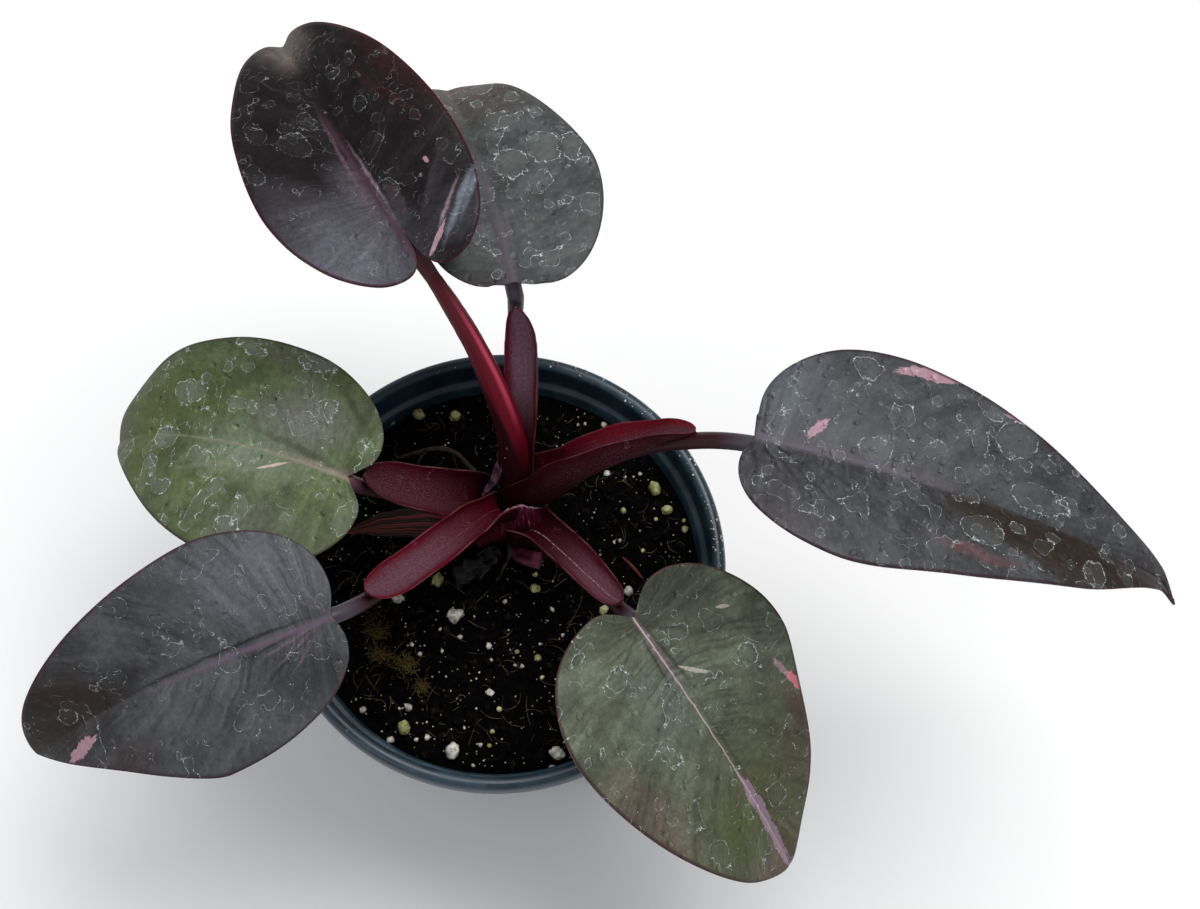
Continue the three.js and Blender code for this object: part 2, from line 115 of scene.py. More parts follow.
# Small pieces by pixel of the photograph, each with its half width in pixels
WHITE_SPECKS = [
    (448, 616, 3), (459, 615, 6), (460, 637, 3.5), (440, 629, 2), (420, 654, 3), (412, 644, 3),
    (442, 651, 2.5), (408, 707, 4.5), (399, 708, 2), (390, 739, 5), (416, 739, 3), (427, 737, 4),
    (440, 714, 2), (464, 727, 2), (505, 602, 3), (552, 609, 3.5), (489, 646, 4), (491, 660, 3),
    (515, 665, 2.5), (522, 666, 2.5), (563, 636, 3), (540, 644, 2), (480, 744, 3), (473, 765, 2.5),
    (476, 708, 2), (614, 542, 2), (620, 540, 2.5), (625, 476, 2), (640, 473, 2.5), (607, 473, 4),
    (604, 424, 4), (578, 424, 2.5), (585, 423, 2.5), (552, 767, 4),
]
GREEN_SPECKS = [
    (517, 651, 4), (538, 658, 4.5), (542, 677, 3), (499, 709, 4.5), (492, 731, 4), (489, 745, 3),
    (656, 519, 3), (623, 510, 4), (684, 519, 3), (685, 528, 4), (643, 550, 3), (604, 610, 6),
    (438, 579, 4), (392, 421, 4), (535, 574, 4), (404, 729, 5),
]
# One of those pixels on the soil in millimetres
PIXEL = 0.232

# Moss by pixel of the photograph: middle, half width and half height
MOSS_SPOTS = [((376, 629), 13, 17), ((381, 655), 9, 8), ((405, 664), 11, 11), ((422, 687), 6, 5)]

# Roots and the twig as routes with their radii. Those on the soil are given by pixels.
ROOT_LEFT = [
    ([(0, 16, 84), (-5, 22.5, 86), (-9, 26.5, 88.5), (-12, 28.5, 90), (-17, 29.5, 88),
      (-25.5, 30, 80)], 0.58),
    ([(-11.5, 28, 89.6), (-10.5, 25, 86), (-8, 23, 83), (-7, 21.5, 80)], 0.3),
    ([(-17, 29.4, 88), (-20, 28, 84.5), (-20.5, 26, 81)], 0.22),
]
ROOT_FRONT = [([(2.5, 9.5, 86.5), (2.3, 5, 86.3), (2.6, 3.4, 85.4), (1.8, 2, 84.2), (0.8, 1, 82.4),
                (0.2, -0.4, 81.2), (-1, -1.6, 80)], 0.42)]
THIN_ROOT_PIXELS = [
    [(516, 580), (530, 589), (545, 593), (567, 579)],
    [(583, 594), (578, 610), (567, 628)],
    [(468, 621), (478, 627), (487, 630)],
]
THIN_ROOT_RADIUS = 0.18
TWIG = [([(29.5, 4.5, 79.9), (32, 2, 80.1), (34.5, -1, 79.9)], 0.4)]

# The plant
STEM_AXIS = (4.5, 14)
STEM_PROFILE = [(0, 55), (3, 55.3), (5, 66), (5.6, 78), (6.2, 84), (5.4, 92), (3.5, 97), (0, 98)]
BLADE_STEPS = (48, 110)
BLADE_THICKNESS = 0.55
BLADE_CUP = -15
MIDRIB_SPACING = 2.8
VEIN_BEND = 0.16
VEIN_PAIRS = 10
LOBE_REACH = 0.3
MARGIN_UNEVEN = 0.3
PILLOW = 0.22
MIDRIB_GROOVE = 0.4
MIDRIB_GROOVE_WIDTH = 1.1
MARGIN_WAVES = 3.2
THICKNESS_LEVELS = 20
SHEATH_STEPS = (30, 110)
SHEATH_THICKNESS = 2.3
SHEATH_TIP_ROW = 0.75
STALK_STEPS = (20, 150)
STALK_RADIUS = 1.85
# Radius of the stalk inside its sheath, at shares of that stretch, and of the midrib under the blade
COVERED_RADII = [(0.4, 0.9), (0.75, 1.2), (1, STALK_RADIUS)]
MIDRIB_RADII = [(0.03, 1.5), (0.15, 1.15), (0.35, 0.85), (0.6, 0.6), (1, 0.15)]

# Each stalk runs from the crown to its blade along route, and its sheath ends at reach, a share of that.
# sheath gives, at shares of the route, the half width and half angle of its left and then its right wing.
# roll turns the open side, hood lifts the sheath's tip off the stalk, tip is where that tip starts, and
# between the two shares of upright the cross-sections turn from level to square.
STALKS = {
    "back_left": {
        "route": [(5.5, 14.5, 82), (6.2, 16.4, 99), (5.6, 20, 115), (2.1, 26, 133), (-3, 32.5, 148),
                  (-8, 38, 159), (-13, 43, 167), (-17, 48, 172)],
        "heading": 123, "reach": 0.95, "hood": 0.3, "tip": 0.9, "upright": (0, 0.2),
        "sheath": [(0, 3, 60, 6.4, 75), (0.2, 3, 60, 6.4, 75), (0.45, 2.7, 62, 3.8, 66),
                   (0.7, 2.2, 62, 2.5, 62), (1, 1.5, 60, 1.5, 60)],
        "roll": [(0, 165), (1, 165)],
    },
    "back": {
        "route": [(4.8, 17.5, 82), (5.2, 18, 95), (5.8, 21.2, 113), (7.3, 27.3, 129), (7.9, 35.2, 143),
                  (6, 42, 158)],
        "heading": 88, "reach": 0.926, "hood": 2, "tip": 0.84, "upright": (0, 0.2),
        "sheath": [(0, 9, 120, 9, 120), (0.2, 5.4, 100, 5.4, 100), (0.45, 4, 71, 3.9, 76),
                   (0.7, 5.2, 58, 3.4, 76), (1, 3.7, 51, 5, 55)],
        "roll": [(0, 0), (0.5, 0), (1, 20)],
    },
    "right": {
        "route": [(7.5, 11.5, 82), (7.1, 13.8, 94), (13.5, 12.7, 107), (21.7, 14.5, 119),
                  (33.7, 14.6, 131.5), (41.1, 13.5, 140), (56.5, 9, 152)],
        "heading": -6, "reach": 0.833, "hood": 1.5, "tip": 0.76, "upright": (0.05, 0.25),
        "sheath": [(0, 12, 83, 12, 120), (0.25, 11.7, 80, 9.2, 114), (0.35, 10.8, 80, 8.6, 112),
                   (0.5, 9, 68, 6.6, 98), (0.75, 5.8, 67, 4.9, 97), (1, 5.4, 69, 4.8, 97)],
        "roll": [(0, 20), (0.3, 40), (1, 40)],
    },
    "front_left": {
        "route": [(1.1, 10.6, 80), (1.1, 10.6, 92), (0.6, 9.8, 101), (-2.3, 6.5, 107), (-5.9, 1.8, 112),
                  (-12.3, -5.8, 119), (-20.4, -14.9, 128), (-32.5, -25.5, 138)],
        "heading": 227, "reach": 0.884, "hood": 2, "tip": 0.86, "upright": (0.25, 0.5),
        "sheath": [(0, 9, 108, 5, 80), (0.22, 8.4, 104, 5, 84), (0.36, 5.4, 103, 4.6, 92),
                   (0.45, 5.5, 81, 5.9, 92), (0.65, 5.3, 60, 5, 56), (1, 6.6, 53, 4.2, 58)],
        "roll": [(0, 0), (1, 0)],
    },
    "front_right": {
        "route": [(6.8, 8, 82), (7, 7.9, 91), (7.4, 5.7, 98.5), (10.7, 3, 103), (16, -3.6, 109.5),
                  (23, -13.4, 120.5), (31.5, -25, 134)],
        "heading": -54, "reach": 0.924, "hood": 2, "tip": 0.86, "upright": (0.2, 0.45),
        "sheath": [(0, 8, 100, 8, 80), (0.27, 7.7, 103, 6.6, 74), (0.38, 6, 82, 4.6, 82),
                   (0.55, 5.4, 58, 3.7, 70), (1, 3, 62, 4, 61)],
        "roll": [(0, 0), (1, 0)],
    },
    "left": {
        "route": [(-1, 12, 80), (-2.8, 11, 93), (-5.5, 10.4, 105), (-14.2, 7.1, 118), (-21.2, 6.2, 126),
                  (-30.5, 6, 136)],
        "heading": 193, "reach": 0.95, "hood": 2, "tip": 0.84, "upright": (0.2, 0.5),
        "sheath": [(0, 3, 55, 11, 90), (0.45, 2.4, 42, 7.4, 74), (0.53, 4.6, 40, 7.2, 68),
                   (0.6, 5.8, 56, 7.2, 62), (1, 5.2, 58, 5.6, 57)],
        "roll": [(0, 0), (1, 0)],
    },
}

# How far the stalk lies below its sheath's floor and to its right, at shares of the sheath, the last of
# which is STALK_JOINT's. STALK_DROP and STALK_ASIDE multiply these: the back left sheath is rolled over,
# so its stalk lies above the floor, inside the wings.
STALK_SHARES = [0, 0.2, 0.4, 0.6, 0.8, 0.97]
STALK_DROPS = [2, 2, 2, 2, 2.2, 2.3, 1.9]
STALK_SHIFTS = [0, 0, 0.15, 0.55, 1, 0.66, 0.53]
STALK_DROP = {"back_left": -0.2, "right": 0.45}
STALK_ASIDE = {"back": -3.2}
# Where the free part ends, as a share of the sheath, and where the midrib starts, as a share of the blade
STALK_JOINT = {"back": (1.012, 0.065)}
# How far the raised midrib's middle lies below the blade, at shares of its length
MIDRIB_SHARES = [0.16, 0.3, 0.5, 0.7]
MIDRIB_DROPS = [2.3, 1.9, 1.65, 1.4, 1.15, 0.95]

# The sheath of the front left stalk stands round the crown as a pleated fold with this rim
FOLD_RIM = [(-3.6, 2.6, 108.5), (-0.6, 5.4, 106), (2.3, 8.2, 105), (4.3, 9.3, 105), (6.3, 9.6, 105),
            (8.4, 9.3, 104.5), (10.3, 9.8, 103.2), (11.9, 11.6, 100.5)]
FOLD_DROP = 9
FOLD_FLARE = 4.8
FOLD_PLEATS = 11
FOLD_STEPS = (90, 30)
FOLD_THICKNESS = 0.8

# Strips of tissue: columns and rows, route, half widths along it, curl, heading, crumple and thickness
STRIPS = {
    "papery_edge": ((16, 50), [(-3, 11.8, 106), (-0.8, 14.2, 107.8), (0.9, 17.4, 110.8), (1, 19.6, 114)],
                    [0.2, 0.7, 0.95, 0.6, 0.15], 0.6, 80, 0.4, 0.3),
    "outer_sheath": ((20, 60), [(1, 12.5, 82), (-8, 9.5, 87.5), (-16, 9, 92), (-26.5, 8, 94), (-36, 6.5, 94)],
                     [4.5, 4.6, 4.2, 3, 0.4], 0.4, 190, 0.3, 0.5),
    "withered_scrap": ((30, 50), [(0.5, 5.5, 83), (-4.5, 1, 84), (-8, -0.5, 82.5), (-10.5, -2.5, 80.8)],
                       [1, 2.6, 2, 0.3], 0.5, 215, 2.2, 0.35),
}
# Where a strip's crumpling reads its noise for x, y and z
CRUMPLE_SHIFTS = [(9.3, -1.5, -8), (0, 0, 0), (6.3, 0.2, -2.7)]
STUB_ROUTE = [(4.2, 8, 83.6), (4.5, 4.4, 84.2), (6.4, 2.9, 84.6), (9.8, 2.2, 85)]
STUB_STEPS = (40, 44)
STUB_HEADING = -45
STUB_CAP_ROW = 0.86

# Each blade bends along its midrib: heading and sweep turn it, pitch, droop and tip_droop lower it, roll
# and twist turn it about itself, fold raises its halves, wave ruffles its margin and closed narrows the
# gap between its lobes. A side is (width, widest, lobe, fullness, tip fullness). notch is the depth and
# width of the dent in the tip, and lean and hook bend the tip aside.
LEAF_USUAL = {"notch": (0, 1), "lean": 0, "hook": 0, "closed": 0}
LEAVES = {
    "back_left": {
        "length": 65, "heading": 122, "sweep": -5, "pitch": -2, "droop": 19, "tip_droop": 14, "roll": -1,
        "twist": 11, "fold": 21, "left": (24.5, 14, 11.6, 0.4, 0.5), "right": (21.5, 14, 12.4, 0.6, 0.45),
        "notch": (3, 2.2), "wave": 0.5, "closed": 1.05,
    },
    "back": {
        "length": 65, "heading": 102, "sweep": 10, "pitch": 0, "droop": 27, "tip_droop": 18, "roll": -8,
        "twist": -7, "fold": 16, "left": (20, 23, 1, 0.55, 0.45), "right": (24, 24, 2, 0.4, 0.45),
        "notch": (1.2, 2.5), "wave": 0.7,
    },
    "right": {
        "length": 105, "heading": -14, "sweep": -5, "pitch": 1, "droop": 22, "tip_droop": 28, "roll": 10,
        "twist": 1, "fold": 14, "left": (27, 28, 0.5, 0.25, 0), "right": (23.5, 24, 2, 0.3, 0),
        "lean": -2.2, "hook": 2.6, "wave": 0.4,
    },
    "front_left": {
        "length": 80, "heading": 198, "sweep": 2, "pitch": -9, "droop": 20, "tip_droop": 19, "roll": 7,
        "twist": 21, "fold": 16, "left": (24, 31, 2, 0.2, 0.1), "right": (25, 21, 2, 0.33, 0.5),
        "wave": 0.5,
    },
    "front_right": {
        "length": 76, "heading": -51, "sweep": -1, "pitch": -24, "droop": 29, "tip_droop": 6, "roll": 7,
        "twist": 14, "fold": 13, "left": (27, 23, 5, 0.3, 0.25), "right": (30.5, 16, 6, 0.45, 0.35),
        "wave": 0.8,
    },
    "left": {
        "length": 70, "heading": 156, "sweep": 14, "pitch": -3, "droop": 34, "tip_droop": 24, "roll": 9,
        "twist": -6, "fold": 10, "left": (26.5, 19, 6, 0.5, 0.1), "right": (24, 26, 4.5, 0.6, 0.35),
        "wave": 0.6,
    },
}
LEAVES = {name: {**LEAF_USUAL, **leaf} for name, leaf in LEAVES.items()}
# The shares of a side's outline at which its sinus, lobe, widest place and tip lie
OUTLINE_SHARES = (0, 0.15, 0.5, 1)
LEAF_SLOTS = {"back_left": "leaf_bronze", "back": "leaf_slate", "right": "leaf_slate",
              "front_left": "leaf_slate", "front_right": "leaf_olive", "left": "leaf_olive"}

# Leaf colours, placed on the flat leaf in millimetres, x out to the right of the midrib and y along it.
# ground is the blade's own colour and rim its edge's. rib is the midrib's (x, half width, end, colour,
# softness) and band a dark area that widens to its right: (x, start, widening, colour). Tones and the
# thinner crease marks are soft and patches crisp: (x, y, half width, half length, turn, colour, strength).
# The tones are partly the blade's own colours and partly painted sheen and painted shade; the crease
# marks are partly pale midrib lines and partly painted highlights and painted shade along folds.
# fibre is the strength of streaks along the side veins, and pleats that of broad painted light and shade
# of pleats along them. Dried water has strength marks, rings as larger outlines (x, y, half width, half
# length), the share small of little rings, the share drops of small raised drops, painted lit on one side
# and shaded on the other, the strength fill inside outlines, and puddles as its noise's seed.
# shine is the surface's reflection and gloss its roughness.
PINK = (0.34, 0.20, 0.24)
LOOK_USUAL = {"patches": [], "shine": 0.16, "gloss": 0.42}
LOOKS = {}
LOOKS["back_left"] = {
    "ground": (0.010, 0.0075, 0.008), "rim": (0.045, 0.008, 0.014),
    "rib": (-1.2, 0.7, 44, (0.062, 0.028, 0.042), 1), "fibre": 0.35, "pleats": 0.9,
    "marks": 0.36, "fill": 0.022, "small": 0.26, "drops": 0.3, "shine": 0.1, "gloss": 0.32,
    "creases_and_fold_shading": [
        (0.4, 14, 0.5, 11, 0, (0.17, 0.11, 0.14), 0.8), (-2.9, 18, 0.6, 18, -4, (0.11, 0.06, 0.08), 0.7),
        (-0.8, 18, 0.5, 20, -2, (0.02, 0.008, 0.012), 0.8), (11, 34, 1.2, 11, 8, (0.030, 0.008, 0.011), 0.45),
        (14.5, 24, 1.1, 11, 12, (0.030, 0.008, 0.011), 0.45), (7, 45, 1, 8, -5, (0.026, 0.009, 0.011), 0.4),
        (13, -3, 1, 9.5, -52, (0.14, 0.16, 0.19), 0.9), (14.5, -6, 1.2, 8, -54, (0.028, 0.028, 0.036), 0.9),
        (16.5, -2, 0.9, 7, -50, (0.12, 0.14, 0.17), 0.85), (9.5, 2, 1.6, 9, -50, (0.022, 0.02, 0.026), 0.8),
        (10.5, -2.2, 0.5, 7, -52, (0.22, 0.16, 0.19), 0.8), (11, 5, 0.9, 8, -46, (0.05, 0.05, 0.06), 0.35),
    ],
    "tones": [
        (20, 38, 7, 26, 8, (0.026, 0.009, 0.012), 0.85), (-14, -2, 17, 17, 0, (0.095, 0.094, 0.117), 0.95),
        (-4, 9, 5, 14, 0, (0.081, 0.076, 0.09), 0.7), (12, -5, 10, 6, 0, (0.043, 0.04, 0.05), 0.7),
        (0, 60, 7, 11, 0, (0.114, 0.089, 0.081), 0.95), (-20, 14, 7, 10, 0, (0.044, 0.042, 0.05), 0.65),
    ],
    "patches": [
        (5, -7, 0.6, 3.9, -57, PINK, 0.95), (12.2, 9.2, 0.5, 0.9, 0, PINK, 0.8),
        (2.5, 6, 1.4, 4.2, 0, (0.085, 0.055, 0.066), 0.3),
    ],
    "rings": [(-16, 34, 2, 3), (-10, 28, 3, 3.6), (-21, 24, 1.6, 2.5), (6, 42, 1.3, 1.8), (-5, 33, 2.4, 3),
              (7, 30, 1.5, 2), (17, 8, 2, 3), (2, 9, 2.3, 2.6), (11, 42, 1.2, 1.5)],
}
LOOKS["back"] = {
    "ground": (0.063, 0.068, 0.068), "rim": (0.06, 0.045, 0.045),
    "rib": (-0.5, 1.3, 44, (0.086, 0.068, 0.09), 1.5), "fibre": 0.2, "pleats": 0.5,
    "marks": 1.1, "fill": 0.16, "small": 0.25, "drops": 0.4, "shine": 0.15,
    "creases_and_fold_shading": [
        (-1.6, 12, 0.9, 14, 3, (0.05, 0.045, 0.055), 0.7), (1.2, 10, 0.6, 12, -4, (0.11, 0.1, 0.115), 0.6),
        (3, 62, 7, 3, 10, (0.085, 0.055, 0.05), 0.6),
    ],
    "tones": [
        (5, 60, 16, 20, 0, (0.062, 0.05, 0.045), 0.95), (-14, 38, 10, 26, 0, (0.016, 0.014, 0.016), 0.9),
        (-8, 0, 9, 6, 0, (0.028, 0.024, 0.026), 0.7),
    ],
    "rings": [(7, 43, 3, 3), (14, 32, 3.6, 4.6), (7, 58, 2.2, 3), (6, 29, 3.6, 4), (15, 43, 1.6, 2.2),
              (20, 30, 2, 4), (12, 50, 1.6, 2), (4, 51, 1.3, 1.7)],
}
LOOKS["right"] = {
    "ground": (0.048, 0.049, 0.053), "rim": (0.04, 0.018, 0.024),
    "rib": (-0.9, 0.9, 56, (0.098, 0.078, 0.108), 1.7), "fibre": 0.3, "pleats": 1.3,
    "marks": 0.9, "fill": 0.1, "small": 0.3, "drops": 0.9, "gloss": 0.38,
    "band": (-0.6, 36, 0.32, (0.021, 0.014, 0.010)),
    "creases_and_fold_shading": [
        (4, 4, 0.7, 5, -52, (0.016, 0.013, 0.016), 0.85), (4.5, 0.5, 0.8, 5, -68, (0.02, 0.017, 0.02), 0.8),
        (2.6, 8, 0.6, 6, -28, (0.018, 0.015, 0.018), 0.8), (6, 8, 0.6, 6, -48, (0.022, 0.02, 0.023), 0.7),
        (8.5, 14, 0.6, 8, -35, (0.026, 0.025, 0.028), 0.6), (5, 18, 0.6, 8, -26, (0.025, 0.024, 0.027), 0.6),
        (2.2, 24, 0.6, 12, -5, (0.03, 0.028, 0.031), 0.6), (11, 24, 0.7, 9, -30, (0.03, 0.029, 0.031), 0.5),
    ],
    "tones": [
        (4, 70, 5, 34, 3, (0.018, 0.011, 0.007), 0.95), (-12, 6, 12, 12, 0, (0.074, 0.082, 0.1), 0.8),
        (13, 50, 2.4, 11, 2, (0.126, 0.058, 0.062), 0.65), (0, 98, 7, 14, 0, (0.026, 0.019, 0.022), 0.85),
        (20, 8, 8, 12, 0, (0.063, 0.058, 0.065), 0.7), (10, 6, 8, 7, 0, (0.041, 0.038, 0.044), 0.7),
    ],
    "patches": [
        (-25, 33.5, 1.5, 8.5, 8, PINK, 0.97), (-5.4, 12.3, 1, 3, 55, PINK, 0.97),
        (-20.7, 53.5, 0.6, 3.4, -8, PINK, 0.9),
    ],
    "rings": [(-16, 54, 4.6, 4.6), (-5, 62, 2.8, 6.5), (7, 50, 3.4, 4.6), (6.5, 77, 2.8, 3.2),
              (2.2, 66, 1.5, 1.9), (-7, 83, 1.6, 2.4), (-4, 25, 3, 3.6), (-22, 20, 2.4, 3),
              (-8, 37, 2, 2.6), (-13, 46, 3, 2.2),
              (0.5, 80, 1, 1.8), (3.5, 58, 1.8, 2), (0, 47, 1.4, 2.2), (3.5, 86, 1, 1.6), (-5, 96, 1.3, 2.4)],
}
LOOKS["front_left"] = {
    "ground": (0.055, 0.058, 0.063), "rim": (0.05, 0.022, 0.028),
    "rib": (-0.6, 0.7, 56, (0.11, 0.075, 0.108), 0.7), "fibre": 0.5, "pleats": 1.1,
    "marks": 0.65, "fill": 0.04, "small": 0.1, "drops": 0.2,
    "band": (0, 44, 0.5, (0.022, 0.015, 0.012)),
    "creases_and_fold_shading": [
        (-2.2, 9, 0.5, 9, 12, (0.13, 0.09, 0.125), 0.85), (-3.8, 8, 0.45, 8, 25, (0.10, 0.07, 0.1), 0.8),
        (-5.6, 6.5, 0.4, 7, 40, (0.09, 0.065, 0.09), 0.75),
        (-1.8, 14, 0.4, 10, 8, (0.022, 0.018, 0.022), 0.8),
        (1.2, 20, 0.5, 16, 0, (0.018, 0.014, 0.018), 0.85), (0.9, 40, 0.4, 10, 0, (0.02, 0.016, 0.018), 0.7),
        (-6.5, 12, 0.5, 9, 30, (0.02, 0.018, 0.02), 0.7), (3, 3, 0.5, 5, -40, (0.13, 0.11, 0.14), 0.6),
        (6, 3, 0.5, 6, -62, (0.13, 0.12, 0.145), 0.6),
    ],
    "tones": [
        (13, 8, 14, 22, 0, (0.103, 0.107, 0.12), 0.85), (-10, 8, 9, 13, 0, (0.026, 0.028, 0.028), 0.85),
        (5, 66, 15, 20, 0, (0.021, 0.015, 0.014), 0.9), (-15, 60, 7, 16, 12, (0.039, 0.024, 0.024), 0.9),
        (-4, 34, 7, 16, 0, (0.073, 0.077, 0.084), 0.7), (4.5, 47, 3, 12, 6, (0.017, 0.015, 0.015), 0.8),
    ],
    "patches": [(-4.9, 65.3, 1.4, 5, 14, PINK, 0.97)],
    "rings": [(5, 49, 1.8, 3.4), (3, 64, 1.8, 2.2)],
}
LOOKS["front_right"] = {
    "ground": (0.092, 0.108, 0.073), "rim": (0.055, 0.022, 0.020),
    "rib": (0.4, 0.2, 90, (0.52, 0.39, 0.37), 0.18), "fibre": 0.5, "pleats": 1.1,
    "marks": 0.95, "fill": 0.05, "small": 0.14, "puddles": 14, "drops": 0.2, "shine": 0.18,
    "creases_and_fold_shading": [
        (0.4, 9, 1.1, 13, 0, (0.15, 0.105, 0.135), 0.85), (-1.2, 10, 0.5, 12, 4, (0.03, 0.032, 0.025), 0.7),
        (2, 10, 0.5, 12, -6, (0.03, 0.032, 0.025), 0.7), (-1, 36, 0.5, 16, 0, (0.045, 0.05, 0.035), 0.6),
        (3.5, 7, 0.5, 6, -38, (0.15, 0.16, 0.13), 0.6), (-4.5, 6, 0.5, 7, 50, (0.035, 0.038, 0.03), 0.7),
        (7, 5, 0.5, 6, -65, (0.035, 0.038, 0.03), 0.6), (-20.5, 45, 4, 15, 8, (0.068, 0.044, 0.034), 0.9),
    ],
    "tones": [
        (0, 58, 28, 26, 0, (0.071, 0.075, 0.036), 0.95), (7, 54, 8, 12, 0, (0.062, 0.081, 0.021), 0.8),
        (-21, 58, 11, 20, 8, (0.065, 0.047, 0.034), 0.85), (5, 75, 16, 11, 0, (0.082, 0.048, 0.032), 0.95),
        (-6, -3, 22, 9, 0, (0.038, 0.04, 0.028), 0.75), (25, 36, 8, 18, 0, (0.118, 0.088, 0.07), 0.8),
        (-12, 1, 13, 10, 0, (0.036, 0.041, 0.028), 0.9), (5, 18, 12, 14, 0, (0.118, 0.14, 0.112), 0.6),
    ],
    "patches": [
        (0.3, 60, 1.5, 16, 0, (0.24, 0.16, 0.21), 0.95), (-4.2, 17.4, 0.45, 3.6, 42, (0.40, 0.36, 0.32), 0.9),
        (-21.4, 31.5, 0.8, 3.4, 10, (0.30, 0.20, 0.21), 0.95),
        (-23, 37, 1, 3.8, 14, (0.66, 0.17, 0.22), 0.97),
        (-17, 10, 0.4, 1.6, 58, (0.40, 0.32, 0.30), 0.8),
    ],
    "rings": [(-5, 56, 2, 3), (16, 52, 2.4, 3.6), (12, 27, 2, 3.6), (12, 7, 2.4, 2.2), (-16, 22, 2.4, 2.2),
              (5, 68, 3.2, 2.6), (-6, 8, 2, 2.4), (17, -1, 1.8, 1.3)],
}
LOOKS["left"] = {
    "ground": (0.079, 0.102, 0.045), "rim": (0.06, 0.05, 0.032),
    "rib": (-0.6, 0.25, 62, (0.24, 0.21, 0.14), 0.5), "fibre": 0.18, "pleats": 0.7,
    "marks": 1.3, "fill": 0.22, "small": 0.24, "drops": 0.3,
    "creases_and_fold_shading": [
        (-0.2, 7, 1.2, 12, 0, (0.20, 0.17, 0.14), 0.8), (2.2, 14, 1, 12, -8, (0.055, 0.06, 0.035), 0.8),
        (0, -1, 1.6, 2.5, 0, (0.13, 0.07, 0.085), 0.8), (7, 18, 5, 10, -10, (0.15, 0.15, 0.125), 0.6),
        (14, 4, 1, 8, -35, (0.04, 0.05, 0.022), 0.7), (-6, 30, 1, 12, 14, (0.17, 0.19, 0.12), 0.5),
    ],
    "tones": [
        (-2, 22, 8, 18, 0, (0.165, 0.205, 0.145), 0.75), (9, 12, 8, 12, 0, (0.14, 0.145, 0.12), 0.85),
        (0, 58, 20, 16, 0, (0.075, 0.09, 0.026), 0.8), (1, 67, 9, 8, 0, (0.075, 0.070, 0.040), 0.9),
        (-18, 14, 9, 18, 0, (0.115, 0.13, 0.095), 0.7), (17, 0, 7, 7, 0, (0.052, 0.062, 0.032), 0.8),
        (10, 46, 10, 14, 0, (0.062, 0.083, 0.022), 0.6), (21, 22, 5, 12, 0, (0.085, 0.085, 0.055), 0.7),
    ],
    "patches": [(-3.4, 17, 0.35, 3.6, 27, (0.50, 0.38, 0.34), 0.95)],
    "rings": [(9.5, 43, 2.8, 4.6), (-13, 44, 2, 3), (-1, 48, 2.6, 4), (-19, 22, 1.8, 2.6), (-11, 28, 1.8, 2),
              (8, 30, 1.4, 3), (21, 16, 1.6, 4), (-7, 50, 1.7, 2.2), (12, 9, 2, 1.4), (21, 30, 1.2, 3)],
}

# Each sheath's floor and wall colours and the strength of a pale line along its floor. The floor colour is
# partly the floor's own paler tone and partly painted sheen.
SHEATH_TONES = {
    "back_left": ((0.05, 0.006, 0.014), (0.08, 0.003, 0.010), 0),
    "back": ((0.150, 0.072, 0.100), (0.085, 0.004, 0.016), 0.15),
    "right": ((0.06, 0.003, 0.011), (0.110, 0.002, 0.009), 0),
    "front_left": ((0.095, 0.034, 0.053), (0.105, 0.002, 0.012), 0.1),
    "front_right": ((0.100, 0.032, 0.052), (0.062, 0.003, 0.012), 0.75),
    "left": ((0.050, 0.006, 0.015), (0.050, 0.0015, 0.008), 0),
    "outside": ((0.038, 0.002, 0.009), (0.030, 0.001, 0.006), 0),
}
STALK_FINISHES = {"usual": "bare stalk", "back_left": "crimson stalk", "left": "mauve stalk"}

# A darker and a lighter tone for each plainer finish
TONES = {
    "bare stalk": ((0.026, 0.022, 0.031), (0.075, 0.060, 0.078)),
    "crimson stalk": ((0.04, 0.008, 0.012), (0.11, 0.020, 0.027)),
    "mauve stalk": ((0.06, 0.016, 0.032), (0.15, 0.055, 0.085)),
    "covered stalk": ((0.012, 0.003, 0.005), (0.04, 0.006, 0.012)),
    "leaf underside": ((0.055, 0.010, 0.018), (0.095, 0.018, 0.030)),
    "crown fold": ((0.030, 0.001, 0.007), (0.070, 0.005, 0.020)),
    "outer sheath": ((0.012, 0.009, 0.007), (0.15, 0.024, 0.026)),
    "stem skin": ((0.03, 0.006, 0.010), (0.08, 0.015, 0.022)),
    "papery tissue": ((0.03, 0.008, 0.018), (0.10, 0.052, 0.08)),
    "stub skin": ((0.07, 0.008, 0.022), (0.20, 0.05, 0.09)),
    "withered tissue": ((0.004, 0.004, 0.0045), (0.04, 0.038, 0.036)),
    "pot plastic": ((0.008, 0.020, 0.032), (0.032, 0.066, 0.097)),
    # The pale tones of the droplets on the lip are painted glints
    "droplets with painted glints": ((0.28, 0.33, 0.36), (0.65, 0.70, 0.72)),
    "peat": ((0.0008, 0.0006, 0.0006), (0.004, 0.0032, 0.003)),
    "peat crumbs": ((0.001, 0.0008, 0.0008), (0.014, 0.011, 0.009)),
    "perlite": ((0.26, 0.25, 0.21), (0.72, 0.71, 0.66)),
    "prill": ((0.16, 0.17, 0.04), (0.60, 0.60, 0.30)),
    "soil fibre": ((0.02, 0.014, 0.010), (0.10, 0.08, 0.06)),
    "moss": ((0.022, 0.010, 0.005), (0.075, 0.055, 0.016)),
    "root skin": ((0.012, 0.010, 0.009), (0.055, 0.042, 0.034)),
    "twig bark": ((0.06, 0.012, 0.010), (0.12, 0.03, 0.02)),
    "floor": ((0.90, 0.90, 0.90), (0.93, 0.93, 0.93)),
}
DRIED_WATER = (0.62, 0.68, 0.68)
DRIED_FILM = (0.20, 0.23, 0.22)
